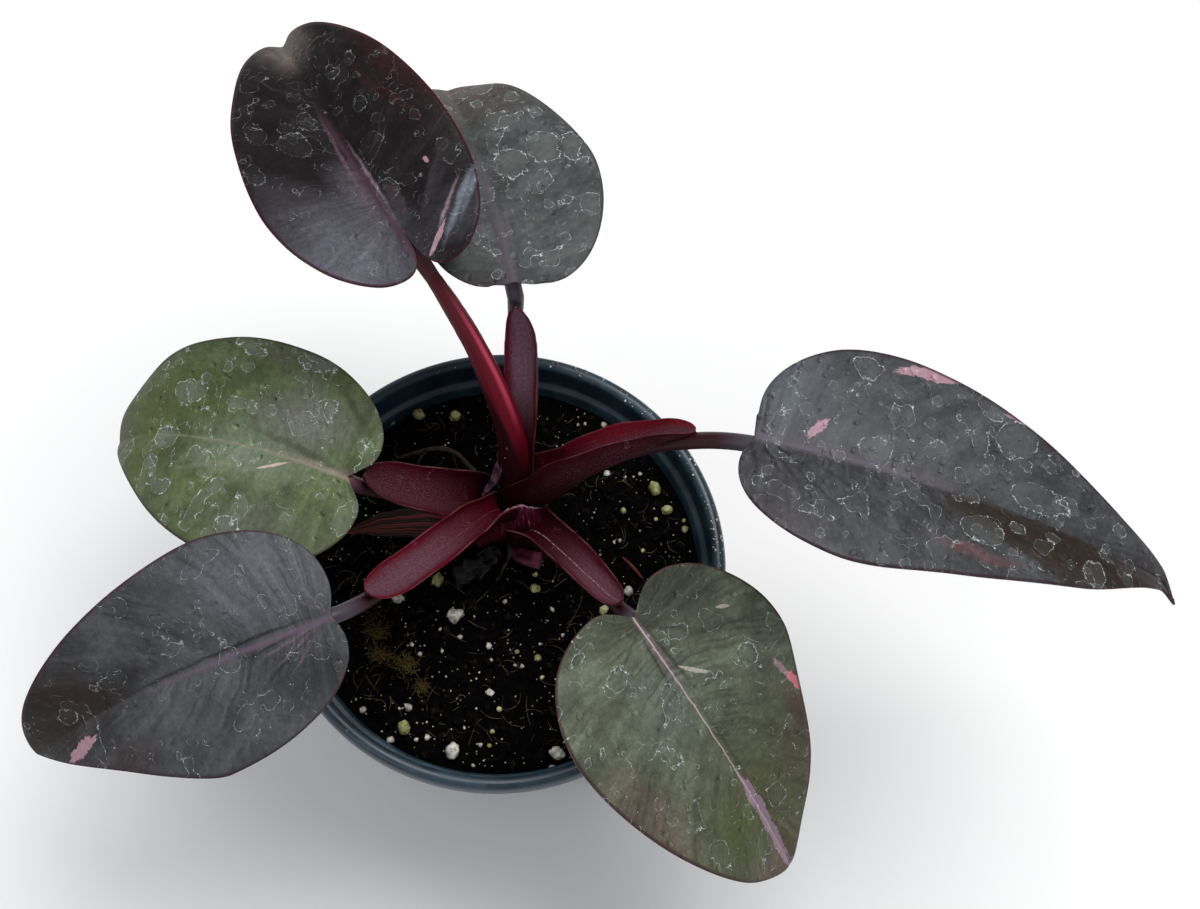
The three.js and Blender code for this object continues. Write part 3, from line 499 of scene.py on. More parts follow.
# Pale specks, also used for painted glints of wet drops
DRIED_DROP_AND_PAINTED_GLINT = (0.5, 0.52, 0.55)
STREAK_DARK = (0.012, 0.010, 0.010)
STREAK_PALE = (0.20, 0.20, 0.20)
UNDERSIDE_VEIN = (0.15, 0.035, 0.05)
UNDERSIDE_BLOTCH = (0.03, 0.02, 0.018)
SHEATH_SPECKLE = (0.26, 0.18, 0.21)
SHEATH_SQUIGGLE = (0.26, 0.18, 0.20)
SHEATH_LINE = (0.42, 0.30, 0.32)
SHEATH_EDGE = (0.14, 0.055, 0.058)
FOLD_SHADE = (0.008, 0.0006, 0.002)
FOLD_RIDGE_HIGHLIGHT = (0.32, 0.18, 0.24)
FOLD_RIM_HIGHLIGHT = (0.36, 0.24, 0.29)
CRIMSON = (0.16, 0.002, 0.014)
CRIMSON_FAR = (0.085, 0.016, 0.022)
CRIMSON_FIBRE = (0.05, 0.002, 0.007)
CRIMSON_BASE = (0.030, 0.001, 0.005)
# A painted highlight along the crimson rib
PAINTED_RIB_HIGHLIGHT = (0.60, 0.07, 0.13)
WING_TONES = ((0.030, 0.002, 0.007), (0.016, 0.004, 0.005))
WING_SIDE = (0.045, 0.022, 0.030)
WING_EDGE = (0.13, 0.09, 0.11)
STRIPE_HIGHLIGHT = (0.16, 0.10, 0.085)
STALK_END = (0.11, 0.025, 0.04)
PLASTIC_GRIT = (0.3, 0.32, 0.33)
SOIL_FLECK = (0.34, 0.33, 0.30)

# Sockets of a colour Mix node, and the second output of a Noise node
FACTOR, COLOUR_A, COLOUR_B, COLOUR_OUT = 0, 6, 7, 2
NOISE_COLOUR = 1


# Shader maths


class Wire:
    """A shader socket that can be used in sums, such as 1 - mask * 0.5."""

    def __init__(self, tree, socket=None):
        self.tree = tree
        self.socket = socket

    def node(self, kind, settings=None, inputs=None, output=0):
        made = self.tree.nodes.new(kind)
        for key, value in (settings or {}).items():
            setattr(made, key, value)
        for key, value in (inputs or {}).items():
            if isinstance(value, Wire):
                self.tree.links.new(value.socket, made.inputs[key])
            elif made.inputs[key].type == "RGBA":
                made.inputs[key].default_value = (*value, 1)
            else:
                made.inputs[key].default_value = value
        return Wire(self.tree, made.outputs[output] if made.outputs else None)

    def math(self, operation, first, second=0.0):
        return self.node("ShaderNodeMath", {"operation": operation}, {0: first, 1: second})

    def vector(self, operation, *inputs):
        return self.node("ShaderNodeVectorMath", {"operation": operation}, dict(enumerate(inputs)))

    def __add__(self, other):
        return self.math("ADD", self, other)

    def __sub__(self, other):
        return self.math("SUBTRACT", self, other)

    def __rsub__(self, other):
        return self.math("SUBTRACT", other, self)

    def __mul__(self, other):
        return self.math("MULTIPLY", self, other)

    def __abs__(self):
        return self.math("ABSOLUTE", self)


def smooth_step(value, low, high):
    """0 below low and 1 above high, or the other way round where low is above high."""
    settings = {"interpolation_type": "SMOOTHSTEP"}
    ends = {"From Min": min(low, high), "From Max": max(low, high)}
    step = value.node("ShaderNodeMapRange", settings, {"Value": value, **ends})
    return 1 - step if low > high else step


def lowest(values):
    least = values[0]
    for value in values[1:]:
        least = least.math("MINIMUM", least, value)
    return least


def length_of(place):
    return place.node("ShaderNodeVectorMath", {"operation": "LENGTH"}, {0: place}, "Value")


def split(place):
    return [place.node("ShaderNodeSeparateXYZ", {}, {0: place}, k) for k in range(3)]


def scaled(colour, factor):
    """A colour made lighter or darker by a factor."""
    return factor.node("ShaderNodeVectorMath", {"operation": "SCALE"}, {0: colour, "Scale": factor})


def mixed(factor, first, second):
    inputs = {FACTOR: factor, COLOUR_A: first, COLOUR_B: second}
    return factor.node("ShaderNodeMix", {"data_type": "RGBA"}, inputs, COLOUR_OUT)


def noise_of(place, scale, detail=2.0, roughness=0.5, output=0):
    inputs = {"Vector": place, "Scale": scale, "Detail": detail, "Roughness": roughness}
    return place.node("ShaderNodeTexNoise", {}, inputs, output)


def blots(place, scale, low, high, detail=2.0, roughness=0.5):
    """Soft blots: 1 where a noise is above high and 0 where it is below low."""
    return smooth_step(noise_of(place, scale, detail, roughness), low, high)


def stretched(place, scale, at=(0, 0, 0)):
    inputs = {"Vector": place, "Scale": scale, "Location": at}
    return place.node("ShaderNodeMapping", {"vector_type": "POINT"}, inputs)


def moved(place, x, y):
    return stretched(place, (1, 1, 1), (x, y, 0))


def grain_along(vein, across, along, detail=3, roughness=0.6, at=(0, 0, 0)):
    """A streaky noise with so many waves across a piece and along it."""
    return noise_of(stretched(vein, (across, along, 1), at), 1, detail, roughness)


def warped(place, scale, amount):
    """Coordinates pushed about by a noise, so that what is drawn with them gets an uneven outline."""
    push = noise_of(place, scale, output=NOISE_COLOUR)
    push = place.vector("SUBTRACT", push, (0.5, 0.5, 0.5))
    push = place.node("ShaderNodeVectorMath", {"operation": "SCALE"}, {0: push, "Scale": amount})
    return place.vector("ADD", place, push)


def cells(place, scale, dimensions):
    """The distance to the nearest of scattered points, and three random numbers of that point."""
    settings, inputs = {"voronoi_dimensions": dimensions}, {"Vector": place, "Scale": scale}
    distance, chance = (place.node("ShaderNodeTexVoronoi", settings, inputs, output)
                        for output in ("Distance", "Color"))
    return distance, split(chance)


def specks(place, scale, share, size):
    distance, chance = cells(place, scale, "3D")
    return smooth_step(distance, size, size * 0.5) * smooth_step(chance[0], share, share - 0.01)


def new_finish(name):
    material = bpy.data.materials.new(name)
    material.use_nodes = True
    tree = material.node_tree
    tree.nodes.clear()
    return material, Wire(tree)


def mapped_finish(name):
    """A new material and the wires of its maps vein and flat."""
    material, start = new_finish(name)
    return material, *(start.node("ShaderNodeUVMap", {"uv_map": key}) for key in ("vein", "flat"))


def solid_finish(name):
    """A new material and the wire of the place on its object, in metres."""
    material, start = new_finish(name)
    return material, start.node("ShaderNodeTexCoord", {}, {}, "Object")


def closed_finish(material, colour, roughness, bump=None, shine=0.5):
    """Connects a Principled shader and returns the material. bump is (height, strength, metres)."""
    inputs = {"Base Color": colour, "Roughness": roughness, "Specular IOR Level": shine}
    if bump:
        height, strength, distance = bump
        lift = {"Height": height, "Strength": strength, "Distance": distance}
        inputs["Normal"] = colour.node("ShaderNodeBump", {}, lift)
    shader = colour.node("ShaderNodeBsdfPrincipled", {}, inputs)
    colour.node("ShaderNodeOutputMaterial", {}, {"Surface": shader})
    return material


# Leaf finishes


def patch_place(flat, patch):
    """Coordinates in which the patch is a circle of radius 1."""
    x, y, half_width, half_length, turn = patch[:5]
    inputs = {"Vector": flat, "Location": (x / 100, y / 100, 0), "Rotation": (0, 0, math.radians(turn)),
              "Scale": (half_width / 100, half_length / 100, 1)}
    return flat.node("ShaderNodeMapping", {"vector_type": "TEXTURE"}, inputs)


def patch_mask(flat, patch):
    """A crisp patch with ends torn along its length and stepped sides."""
    x, y = patch[:2]
    near = patch_place(flat, patch)
    ends = grain_along(near, 2.2, 0.12, 3, 0.7, (x, y, 0))
    sides = grain_along(near, 0.3, 2.6, 4, 0.75, (y, x, 0))
    shift = near.node("ShaderNodeCombineXYZ", {}, {"X": sides - 0.5, "Y": ends - 0.5})
    return smooth_step(length_of(near.vector("MULTIPLY_ADD", shift, (2.2, 1.5, 0), near)), 1.03, 0.97)


def ring_masks(flat, rings):
    """Outline, inside and the dark line just inside the outline of the dried drops in the list; that line is
    painted shade at their raised edge.
    """
    uneven = warped(warped(flat, 20, 0.04), 90, 0.017)
    reaches, gaps = [], []
    for x, y, half_width, half_length in rings:
        reaches.append(length_of(patch_place(uneven, (x, y, half_width, half_length, 0))))
        gaps.append((reaches[-1] - 1) * ((half_width + half_length) / 2))
    outline = smooth_step(lowest([abs(gap) for gap in gaps]), 0.2, 0.04)
    painted_shade_line = smooth_step(lowest([abs(gap + 0.4) for gap in gaps]), 0.3, 0.05)
    return outline, smooth_step(lowest(reaches), 1, 0.9), painted_shade_line


def level_marks(flat, scale, level, seed):
    """Closed level lines of a noise, like the edges of dried puddles, and their insides."""
    field = noise_of(moved(flat, seed, 2 * seed), scale, 2.5, 0.45)
    line = smooth_step(abs(field - level), 0.006, 0.0015)
    return line, smooth_step(field, level, level + 0.006)


def small_rings(flat, cell, share, seed):
    """Small round drop marks about cell millimetres apart, and their insides."""
    place = stretched(warped(flat, 50, 0.026), (100 / cell,) * 3, at=(seed, seed * 0.7, 0))
    distance, (size, there, _) = cells(place, 1, "2D")
    gap = distance - (size * 0.22 + 0.1)
    here = smooth_step(there, share, share - 0.02)
    return smooth_step(abs(gap), 0.04, 0.01) * here, smooth_step(gap, 0.02, -0.04) * here


def band_mask(flat, band):
    """A dark area to the right of the midrib, with a crisp edge there and a soft one outside."""
    x0, start, widening, _ = band
    x, y, _ = split(warped(flat, 40, 0.006))
    inner = smooth_step(x, (x0 - 0.2) / 100, (x0 + 0.3) / 100)
    reach = (y - start / 100) * widening
    soft = noise_of(flat, 22, 4, 0.7) * 0.05
    outer = smooth_step(x - reach - soft, 0.005, -0.025)
    return inner * outer * smooth_step(y, start / 100, start / 100 + 0.1) * 0.8


def rib_mask(flat, rib, fibre):
    """The midrib's stripe, uneven in width and fading towards its end."""
    x0, half_width, end, _, soft = rib
    x, y, _ = split(flat)
    sway = (noise_of(stretched(flat, (0, 1, 1)), 26, 3) - 0.5) * 0.008
    taper = 1 - smooth_step(y, -0.02, end / 100)
    gap = abs(x + sway - x0 / 100) - (taper * 0.8 + 0.2) * (half_width / 100)
    return smooth_step(gap, soft / 100, -soft / 100) * smooth_step(taper, 0, 0.25) * (fibre * 0.5 + 0.6)


def leaf_ground(look, vein, flat, seed):
    """The blade's colour: clouds, soft areas and crease marks that are partly painted sheen and painted
    shade, mottling, fine streaks along the side veins and painted light and shade of pleats.
    """
    place = moved(flat, seed, 0)
    dark, light = (tuple(part * share for part in look["ground"]) for share in (0.7, 1.25))
    colour = mixed(blots(place, 12, 0.34, 0.66, 5, 0.65), dark, light)
    # Tones are partly the blade's own colours and partly painted sheen and painted shade; crease marks are
    # partly pale midrib lines and partly painted highlights and painted shade along folds.
    for kind, uneven in (("tones", warped(flat, 14, 0.07)), ("creases_and_fold_shading", warped(flat, 30, 0.012))):
        for tone in look[kind]:
            mask = smooth_step(length_of(patch_place(uneven, tone)), 1.25, 0.2)
            colour = mixed(mask * tone[6], colour, tone[5])
    if "band" in look:
        colour = mixed(band_mask(flat, look["band"]), colour, look["band"][3])
    mottle = noise_of(place, 75, 5, 0.72)
    dust = noise_of(place, 380, 3, 0.65)
    swept = warped(vein, 7, 0.035)
    fibre = grain_along(swept, 2.2, 70, 4, 0.65, (seed, 0, 0))
    # Painted light and shade of broad pleats along the side veins.
    pleat = (grain_along(swept, 1.4, 24, 2, 0.5, (seed, 5, 0)) - 0.5) * look["pleats"]
    colour = scaled(colour, (mottle * 1.5 + 0.25) * (dust + 0.5) * (pleat + 1))
    streak = blots(place, 9, 0.4, 0.6) * look["fibre"]
    colour = mixed(smooth_step(fibre, 0.54, 0.36) * streak * 0.8, colour, STREAK_DARK)
    colour = mixed(smooth_step(fibre, 0.56, 0.78) * streak * 0.6, colour, STREAK_PALE)
    return colour, fibre, mottle


def leaf_marks(look, flat, seed):
    """How strong the white of dried water is, the insides of its outlines, the painted highlight and painted
    shade that it and its small raised drops put on the blade, and the height of its small drops."""
    ring, ring_inside, dark = ring_masks(flat, look["rings"])
    small, small_inside = small_rings(flat, 4.4, look["small"], seed)
    large, large_inside = level_marks(flat, 11, 0.61, look.get("puddles", seed))
    open_line, _ = level_marks(flat, 26, 0.5, seed + 9)
    where = blots(moved(flat, 0, seed), 15, 0.55, 0.6, 1)
    lines = ring * 0.9 + small * 0.4 + large * 0.8 + open_line * where
    beads, broken = blots(flat, 260, 0.42, 0.64, 3, 0.6), blots(flat, 36, 0.42, 0.58, 3, 0.6)
    lines = lines * (beads * 1.05 + 0.15) * (broken * 0.9 + 0.1)
    dots = specks(flat, 70, 0.1, 0.1) * 0.8
    uneven = warped(flat, 50, 0.02)
    # Small raised drops, painted lit on one side and shaded on the other.
    lit, shaded = (specks(moved(uneven, shift, -shift), 38, look["drops"], 0.32)
                   for shift in (0.0012, -0.0012))
    insides = ring_inside + small_inside * 0.7 + large_inside * 0.5
    white = lowest([(lines + dots) * look["marks"], 0.95])
    painted_drop_shading = lit * 0.85 - shaded * 0.7 - dark * 0.3
    return white, insides * look["fill"], painted_drop_shading * (0.5 + 0.5 * look["marks"]), lit


def leaf_finish(name, seed):
    look = {**LOOK_USUAL, **LOOKS[name]}
    material, vein, flat = mapped_finish(f"leaf {name}")
    colour, fibre, mottle = leaf_ground(look, vein, flat, seed)
    for patch in look["patches"]:
        colour = mixed(patch_mask(flat, patch) * patch[6], colour, scaled(patch[5], mottle * 0.9 + 0.55))
    colour = mixed(rib_mask(flat, look["rib"], fibre), colour, look["rib"][3])
    outward = abs(split(vein)[0] * 2 - 1)
    colour = mixed(smooth_step(outward, 0.97, 0.99) * 0.8, colour, look["rim"])
    marks, insides, painted_drop_shading, drops = leaf_marks(look, flat, seed)
    # Painted highlight and shade of the dried drops lighten and darken the blade.
    colour = mixed(insides, scaled(colour, painted_drop_shading + 1), DRIED_FILM)
    colour = mixed(marks, colour, DRIED_WATER)
    grain = mottle * 0.5 + fibre * (0.4 * look["fibre"]) + marks * 0.5 + drops * 0.9
    roughness = mottle * 0.2 + marks * 0.2 + look["gloss"] - 0.04
    return closed_finish(material, colour, roughness, (grain, 0.55, 0.0003), look["shine"])


def underside_finish():
    material, vein, flat = mapped_finish("leaf underside")
    streak = grain_along(vein, 2, 80)
    colour = mixed(smooth_step(streak, 0.3, 0.7), *TONES["leaf underside"])
    side_vein = abs(vein.math("FRACT", split(vein)[1] * VEIN_PAIRS) - 0.5)
    colour = mixed(smooth_step(side_vein, 0.44, 0.5) * 0.4, colour, UNDERSIDE_VEIN)
    colour = mixed(blots(flat, 25, 0.5, 0.75, 3) * 0.3, colour, UNDERSIDE_BLOTCH)
    return closed_finish(material, colour, noise_of(flat, 60) * 0.15 + 0.42, (streak, 0.3, 0.0002))


# Stalk finishes


def sheath_finish(name):
    """A sheath face: wall colour at the crown and up its sides, floor colour along its middle towards the
    tip, partly its own paler tone and partly painted sheen, painted shade that darkens it towards the crown,
    a thin tan edge and, where line is above 0, a pale line along the floor."""
    floor, wall, line = SHEATH_TONES[name]
    material, vein, flat = mapped_finish(f"sheath {name}")
    across, along, _ = split(vein)
    outward = abs(across * 2 - 1)
    blotch = grain_along(vein, 5, 9, 3, 0.55)
    fibre = grain_along(vein, 70, 3)
    # Floor colour along the middle: partly the floor's own paler tone and partly painted sheen.
    middle = smooth_step(outward + (blotch - 0.5) * 0.5, 0.95, 0.35) * smooth_step(along, 0.28, 0.66)
    mottle = noise_of(stretched(flat, (1, 0.5, 1)), 150, 4, 0.7)
    # Painted shade: darker towards the crown.
    shade = smooth_step(along, 0.3, 0.66) * 0.55 + 0.45
    colour = scaled(mixed(middle, wall, floor), (mottle * 1.7 + 0.15) * shade)
    colour = mixed(smooth_step(fibre, 0.5, 0.75) * 0.5, colour, tuple(part * 0.35 for part in wall))
    speckle = blots(flat, 330, 0.52, 0.68, 3, 0.75)
    colour = mixed(speckle * (middle * 0.6 + 0.04), colour, SHEATH_SPECKLE)
    squiggle, _ = level_marks(flat, 30, 0.5, 3)
    colour = mixed(squiggle * blots(flat, 18, 0.55, 0.65, 1) * 0.35, colour, SHEATH_SQUIGGLE)
    if line:
        sway = (noise_of(stretched(vein, (0, 7, 1)), 1) - 0.5) * 0.05
        stripe = smooth_step(abs(across + sway - 0.5), 0.013, 0.005) * smooth_step(along, 0.2, 0.3)
        colour = mixed(stripe * blots(flat, 60, 0.36, 0.6, 3, 0.7) * line, colour, SHEATH_LINE)
    edge = smooth_step(outward, 0.98, 0.995) * smooth_step(blotch, 0.36, 0.6)
    colour = mixed(edge * 0.65, colour, SHEATH_EDGE)
    return closed_finish(material, colour, fibre * 0.2 + blotch * 0.1 + 0.3, (fibre, 0.45, 0.0002), 0.05)


def fold_finish():
    """The pleated fold at the crown, darkened towards its foot by painted shade, with a pale rim and pale
    lines down from it that are painted highlights on the rim and on the pleat ridges.
    """
    material, vein, _ = mapped_finish("crown fold")
    across, along, _ = split(vein)
    pleats = grain_along(vein, 34, 1.1)
    colour = mixed(pleats, *TONES["crown fold"])
    colour = mixed(smooth_step(along, 0.45, 0.1), colour, FOLD_SHADE)
    front = smooth_step(abs(across - 0.57), 0.25, 0.1) * smooth_step(along, 0.4, 0.7)
    # Painted highlights on the pleat ridges
    colour = mixed(smooth_step(pleats, 0.55, 0.62) * front * 0.6, colour, FOLD_RIDGE_HIGHLIGHT)
    # Painted highlight along the rim
    rim = smooth_step(along, 0.955, 0.985) * blots(vein, 26, 0.46, 0.58, 3)
    colour = mixed(rim * 0.8, colour, FOLD_RIM_HIGHLIGHT)
    return closed_finish(material, colour, pleats * 0.2 + 0.3, (pleats, 0.6, 0.0003), 0.1)


def ribbed_finish():
    """The back left sheath from outside: a crimson rib with a painted highlight along it, a dark wing beside
    it, a thin lilac edge, pale specks on the wing and painted glints of wet drops near the crown.
    """
    material, vein, flat = mapped_finish("ribbed sheath")
    across, along, _ = split(vein)
    fibre = grain_along(vein, 60, 2.5)
    crimson = mixed(smooth_step(along, 0.4, 0.8), CRIMSON, CRIMSON_FAR)
    crimson = mixed(smooth_step(fibre, 0.48, 0.7) * 0.65, crimson, CRIMSON_FIBRE)
    crimson = mixed(smooth_step(along, 0.4, 0.2), crimson, CRIMSON_BASE)
    on_wing = smooth_step(across - smooth_step(along, 0.25, 0.65) * 0.36, 0.57, 0.68)
    colour = mixed(on_wing, crimson, mixed(noise_of(flat, 30, 3), *WING_TONES))
    # Painted highlight along the rib
    painted_highlight = smooth_step(abs(across - 0.5), 0.09, 0.01) * smooth_step(abs(along - 0.54), 0.22, 0.04)
    colour = mixed(painted_highlight * (fibre * 0.8 + 0.3), colour, PAINTED_RIB_HIGHLIGHT)
    colour = mixed(smooth_step(across, 0.2, 0.1), colour, WING_SIDE)
    colour = mixed(smooth_step(across, 0.035, 0.015) * 0.8, colour, WING_EDGE)
    drops = specks(flat, 60, 0.16, 0.14) * on_wing
    # Painted glints of wet drops near the crown
    drops += specks(stretched(flat, (1, 0.35, 1)), 50, 0.4, 0.24) * smooth_step(along, 0.4, 0.32)
    colour = mixed(drops * 0.8, colour, DRIED_DROP_AND_PAINTED_GLINT)
    return closed_finish(material, colour, fibre * 0.15 + 0.3, (fibre, 0.35, 0.0002), 0.12)


def striped_finish():
    """The old outer sheath: dry brown with red-brown stripes and a few pale lines that are painted
    highlights.
    """
    material, vein, _ = mapped_finish("outer sheath")
    stripes = grain_along(warped(vein, 4, 0.05), 16, 0.7)
    lines = grain_along(vein, 60, 1.2, 2, 0.5)
    colour = mixed(smooth_step(stripes, 0.48, 0.6), *TONES["outer sheath"])
    # Painted highlights along a few lines
    colour = mixed(smooth_step(lines, 0.6, 0.7) * 0.6, colour, STRIPE_HIGHLIGHT)
    return closed_finish(material, colour, lines * 0.2 + 0.5, (lines, 0.6, 0.0003), 0.1)


def stalk_finish(name):
    """The round stalk: dark inside the sheath's stretch, then in its own tones, then reddish as midrib."""
    material, vein, _ = mapped_finish(name)
    along = split(vein)[1]
    fibre = grain_along(vein, 26, 5)
    bare, covered = (mixed(fibre, *TONES[key]) for key in (name, "covered stalk"))
    colour = mixed(smooth_step(along, 0.34, 0.41), covered, bare)
    colour = mixed(smooth_step(along, 0.52, 0.56), colour, STALK_END)
    return closed_finish(material, colour, fibre * 0.2 + 0.3, (fibre, 0.4, 0.0002), 0.25)


# Finishes of the pot, the soil and the small pieces


def plastic_finish():
    material, place = solid_finish("pot plastic")
    dust = blots(place, 110, 0.34, 0.78, 6, 0.72)
    colour = mixed(dust * 0.8, *TONES["pot plastic"])
    colour = mixed(specks(place, 700, 0.012, 0.2) * 0.6, colour, PLASTIC_GRIT)
    scratch = noise_of(stretched(place, (1, 1, 12)), 260, 3, 0.6)
    return closed_finish(material, colour, dust * 0.2 + scratch * 0.1 + 0.28)


def soil_finish(name):
    material, place = solid_finish(name)
    clump = noise_of(place, 420, 4, 0.7)
    colour = mixed(smooth_step(clump, 0.45, 0.72), *TONES[name])
    colour = mixed(specks(place, 1000, 0.1, 0.2) * 0.9, colour, SOIL_FLECK)
    return closed_finish(material, colour, clump * 0.2 + 0.75, (noise_of(place, 1400, 3), 0.8, 0.0006), 0.03)


def grain_finish(name, scale, roughness):
    material, place = solid_finish(name)
    dark, pale = TONES[name]
    patchy = noise_of(place, scale, 4, 0.7)
    colour = mixed(smooth_step(patchy, 0.35, 0.65), dark, pale)
    colour = mixed(blots(place, 90, 0.3, 0.7, 1) * 0.35, colour, dark)
    fine = noise_of(place, scale * 3, 3)
    return closed_finish(material, colour, patchy * 0.2 + roughness, (fine, 0.6, 0.0003))


def fibre_finish(name, scale=300):
    material, place = solid_finish(name)
    tone = noise_of(place, scale, 3, 0.6)
    colour = mixed(smooth_step(tone, 0.35, 0.65), *TONES[name])
    return closed_finish(material, colour, tone * 0.2 + 0.6, (noise_of(place, 2500), 0.4, 0.0002), 0.12)


def toned_finish(name, scale, detail, varying, roughness):
    """A smooth finish between its two tones, whose roughness varies a little."""
    material, place = solid_finish(name)
    tone = noise_of(place, scale, detail)
    return closed_finish(material, mixed(tone, *TONES[name]), tone * varying + roughness)


# Mesh building


def only(obj):
    bpy.ops.object.select_all(action="DESELECT")
    obj.select_set(True)
    bpy.context.view_layer.objects.active = obj


def placed(name, data):
    """A new object with this data in the scene."""
    obj = bpy.data.objects.new(name, data)
    bpy.context.scene.collection.objects.link(obj)
    return obj


def mesh_object(name, vertices, edges, faces):
    mesh = bpy.data.meshes.new(name)
    mesh.from_pydata(vertices, edges, faces)
    return placed(name, mesh)


def apply_modifier(obj, kind, **settings):
    only(obj)
    modifier = obj.modifiers.new(kind.title(), kind)
    for key, value in settings.items():
        setattr(modifier, key, value)
    bpy.ops.object.modifier_apply(modifier=modifier.name)


def edit(obj, operator, **settings):
    """Runs an edit-mode operator on the whole mesh."""
    only(obj)
    bpy.ops.object.mode_set(mode="EDIT")
    bpy.ops.mesh.select_all(action="SELECT")
    operator(**settings)
    bpy.ops.object.mode_set(mode="OBJECT")


def merge_doubles(obj, threshold=0.002):
    edit(obj, bpy.ops.mesh.remove_doubles, threshold=threshold * MM)


def face_outwards(obj):
    edit(obj, bpy.ops.mesh.normals_make_consistent, inside=False)


def give(obj, *materials):
    for material in materials:
        obj.data.materials.append(material)


def piece(obj, slot, *nodes):
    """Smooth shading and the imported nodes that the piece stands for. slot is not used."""
    only(obj)
    bpy.ops.object.shade_smooth()
    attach(obj, "root")
    if nodes:
        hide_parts(*nodes)


def shaped_grid(name, steps, place):
    """A grid of (columns, rows) whose points go where place(u, v) says. place returns places, flat
    coordinates in millimetres and how thick the piece is there, from 0 to 1."""
    bpy.ops.mesh.primitive_grid_add(x_subdivisions=steps[0], y_subdivisions=steps[1], size=1)
    obj = bpy.context.object
    obj.name = obj.data.name = name
    mesh = obj.data
    points = np.zeros(len(mesh.vertices) * 3)
    mesh.vertices.foreach_get("co", points)
    u, v, _ = np.clip(points.reshape(-1, 3).T + 0.5, 0, 1)
    places, flat, weights = place(u, v)
    mesh.vertices.foreach_set("co", (places * MM).ravel())
    mesh.uv_layers[0].name = "vein"
    corners = np.zeros(len(mesh.loops), int)
    mesh.loops.foreach_get("vertex_index", corners)
    layer = mesh.uv_layers.new(name="flat")
    layer.uv.foreach_set("vector", (flat[corners] * 0.01).astype(np.float32).ravel())
    group = obj.vertex_groups.new(name="thick")
    for step in range(THICKNESS_LEVELS + 1):
        level = step / THICKNESS_LEVELS
        chosen = np.nonzero(np.abs(weights - level) <= 0.5 / THICKNESS_LEVELS)[0]
        group.add(chosen.tolist(), level, "REPLACE")
    merge_doubles(obj)
    return obj


def sheet(name, steps, place, thickness, *finishes):
    """A shaped grid made thick. The second finish, if there is one, is for the side below."""
    obj = shaped_grid(name, steps, place)
    give(obj, *finishes)
    apply_modifier(obj, "SOLIDIFY", thickness=thickness * MM, offset=-1, vertex_group="thick",
                   material_offset=len(finishes) - 1)
    return obj


def tube(name, steps, place, finish):
    """A shaped grid that closes on itself."""
    obj = shaped_grid(name, steps, place)
    face_outwards(obj)
    give(obj, finish)
    return obj


def spun(name, profile, steps):
    """A closed solid of revolution from (radius, height) points that start and end on the axis."""
    points = [(r * MM, 0, z * MM) for r, z in profile]
    obj = mesh_object(name, points, [(k, k + 1) for k in range(len(points) - 1)], [])
    edit(obj, bpy.ops.mesh.spin, steps=steps, angle=2 * math.pi, center=(0, 0, 0), axis=(0, 0, 1))
    merge_doubles(obj)
    face_outwards(obj)
    return obj


# Paths


def path_points(route, steps=400):
    """A smooth line through the route's points, evenly spaced, and its length."""
    points = np.array(route, float)
    padded = np.vstack([2 * points[0] - points[1], points, 2 * points[-1] - points[-2]])
    line = []
    spans = len(points) - 1
    for k in range(spans):
        a, b, c, d = padded[k:k + 4]
        t = np.linspace(0, 1, steps // spans, endpoint=False)[:, None]
        line.append(0.5 * (2 * b + (c - a) * t + (2 * a - 5 * b + 4 * c - d) * t**2
                           + (3 * b - a - 3 * c + d) * t**3))
    line = np.vstack([*line, points[-1:]])
    reach = np.r_[0, np.cumsum(np.linalg.norm(np.diff(line, axis=0), axis=1))]
    even = np.linspace(0, reach[-1], steps)
    return np.column_stack([np.interp(even, reach, line[:, k]) for k in range(3)]), reach[-1]


def at_share(line, share):
    grid = np.linspace(0, 1, len(line))
    return np.column_stack([np.interp(share, grid, line[:, k]) for k in range(3)])


def unit(vectors):
    return vectors / np.linalg.norm(vectors, axis=1)[:, None]


def eased(share):
    share = np.clip(share, 0, 1)
    return share * share * (3 - 2 * share)


def keyed(keys, share, column=1):
    """Eased values between keys, each a tuple that starts with its share."""
    places = np.array([key[0] for key in keys], float)
    values = np.array([key[column] for key in keys], float)
    slot = np.clip(np.searchsorted(places, share) - 1, 0, len(places) - 2)
    local = eased((share - places[slot]) / (places[slot + 1] - places[slot]))
    return values[slot] + (values[slot + 1] - values[slot]) * local


def turned(angle, right, upper):
    """The right and upper directions turned about the line that they are square to."""
    cosine, sine = np.cos(angle)[:, None], np.sin(angle)[:, None]
    return cosine * right + sine * upper, cosine * upper - sine * right


def heading_frame(line, share, heading, roll=None, upright=(-1, 0)):
    """Origin, right and upper directions along a line that leaves towards heading. Below the first
    share of upright the cross-sections are level, and from the second on they are square to the line."""
    tangent = unit(np.gradient(line, axis=0))
    lean = eased((share - upright[0]) / (upright[1] - upright[0]))[:, None]
    forward = unit(at_share(tangent, share) * lean + np.array([0, 0, 1.0]) * (1 - lean))
    turn = math.radians(heading)
    right = np.tile([math.sin(turn), -math.cos(turn), 0.0], (len(share), 1))
    right = unit(right - forward * (right * forward).sum(1)[:, None])
    angle = np.zeros(len(share)) if roll is None else np.radians(roll)
    return at_share(line, share), *turned(angle, right, np.cross(right, forward))


def offset(places, right, x, upper, z):
    """Places moved by x along right and by z along upper."""
    return places + right * x[:, None] + upper * z[:, None]


# Blades


def bezier(points, t):
    a, b, c, d = (np.array(p, float) for p in points)
    t = t[:, None]
    s = 1 - t
    return s**3 * a + 3 * s * s * t * b + 3 * s * t * t * c + t**3 * d


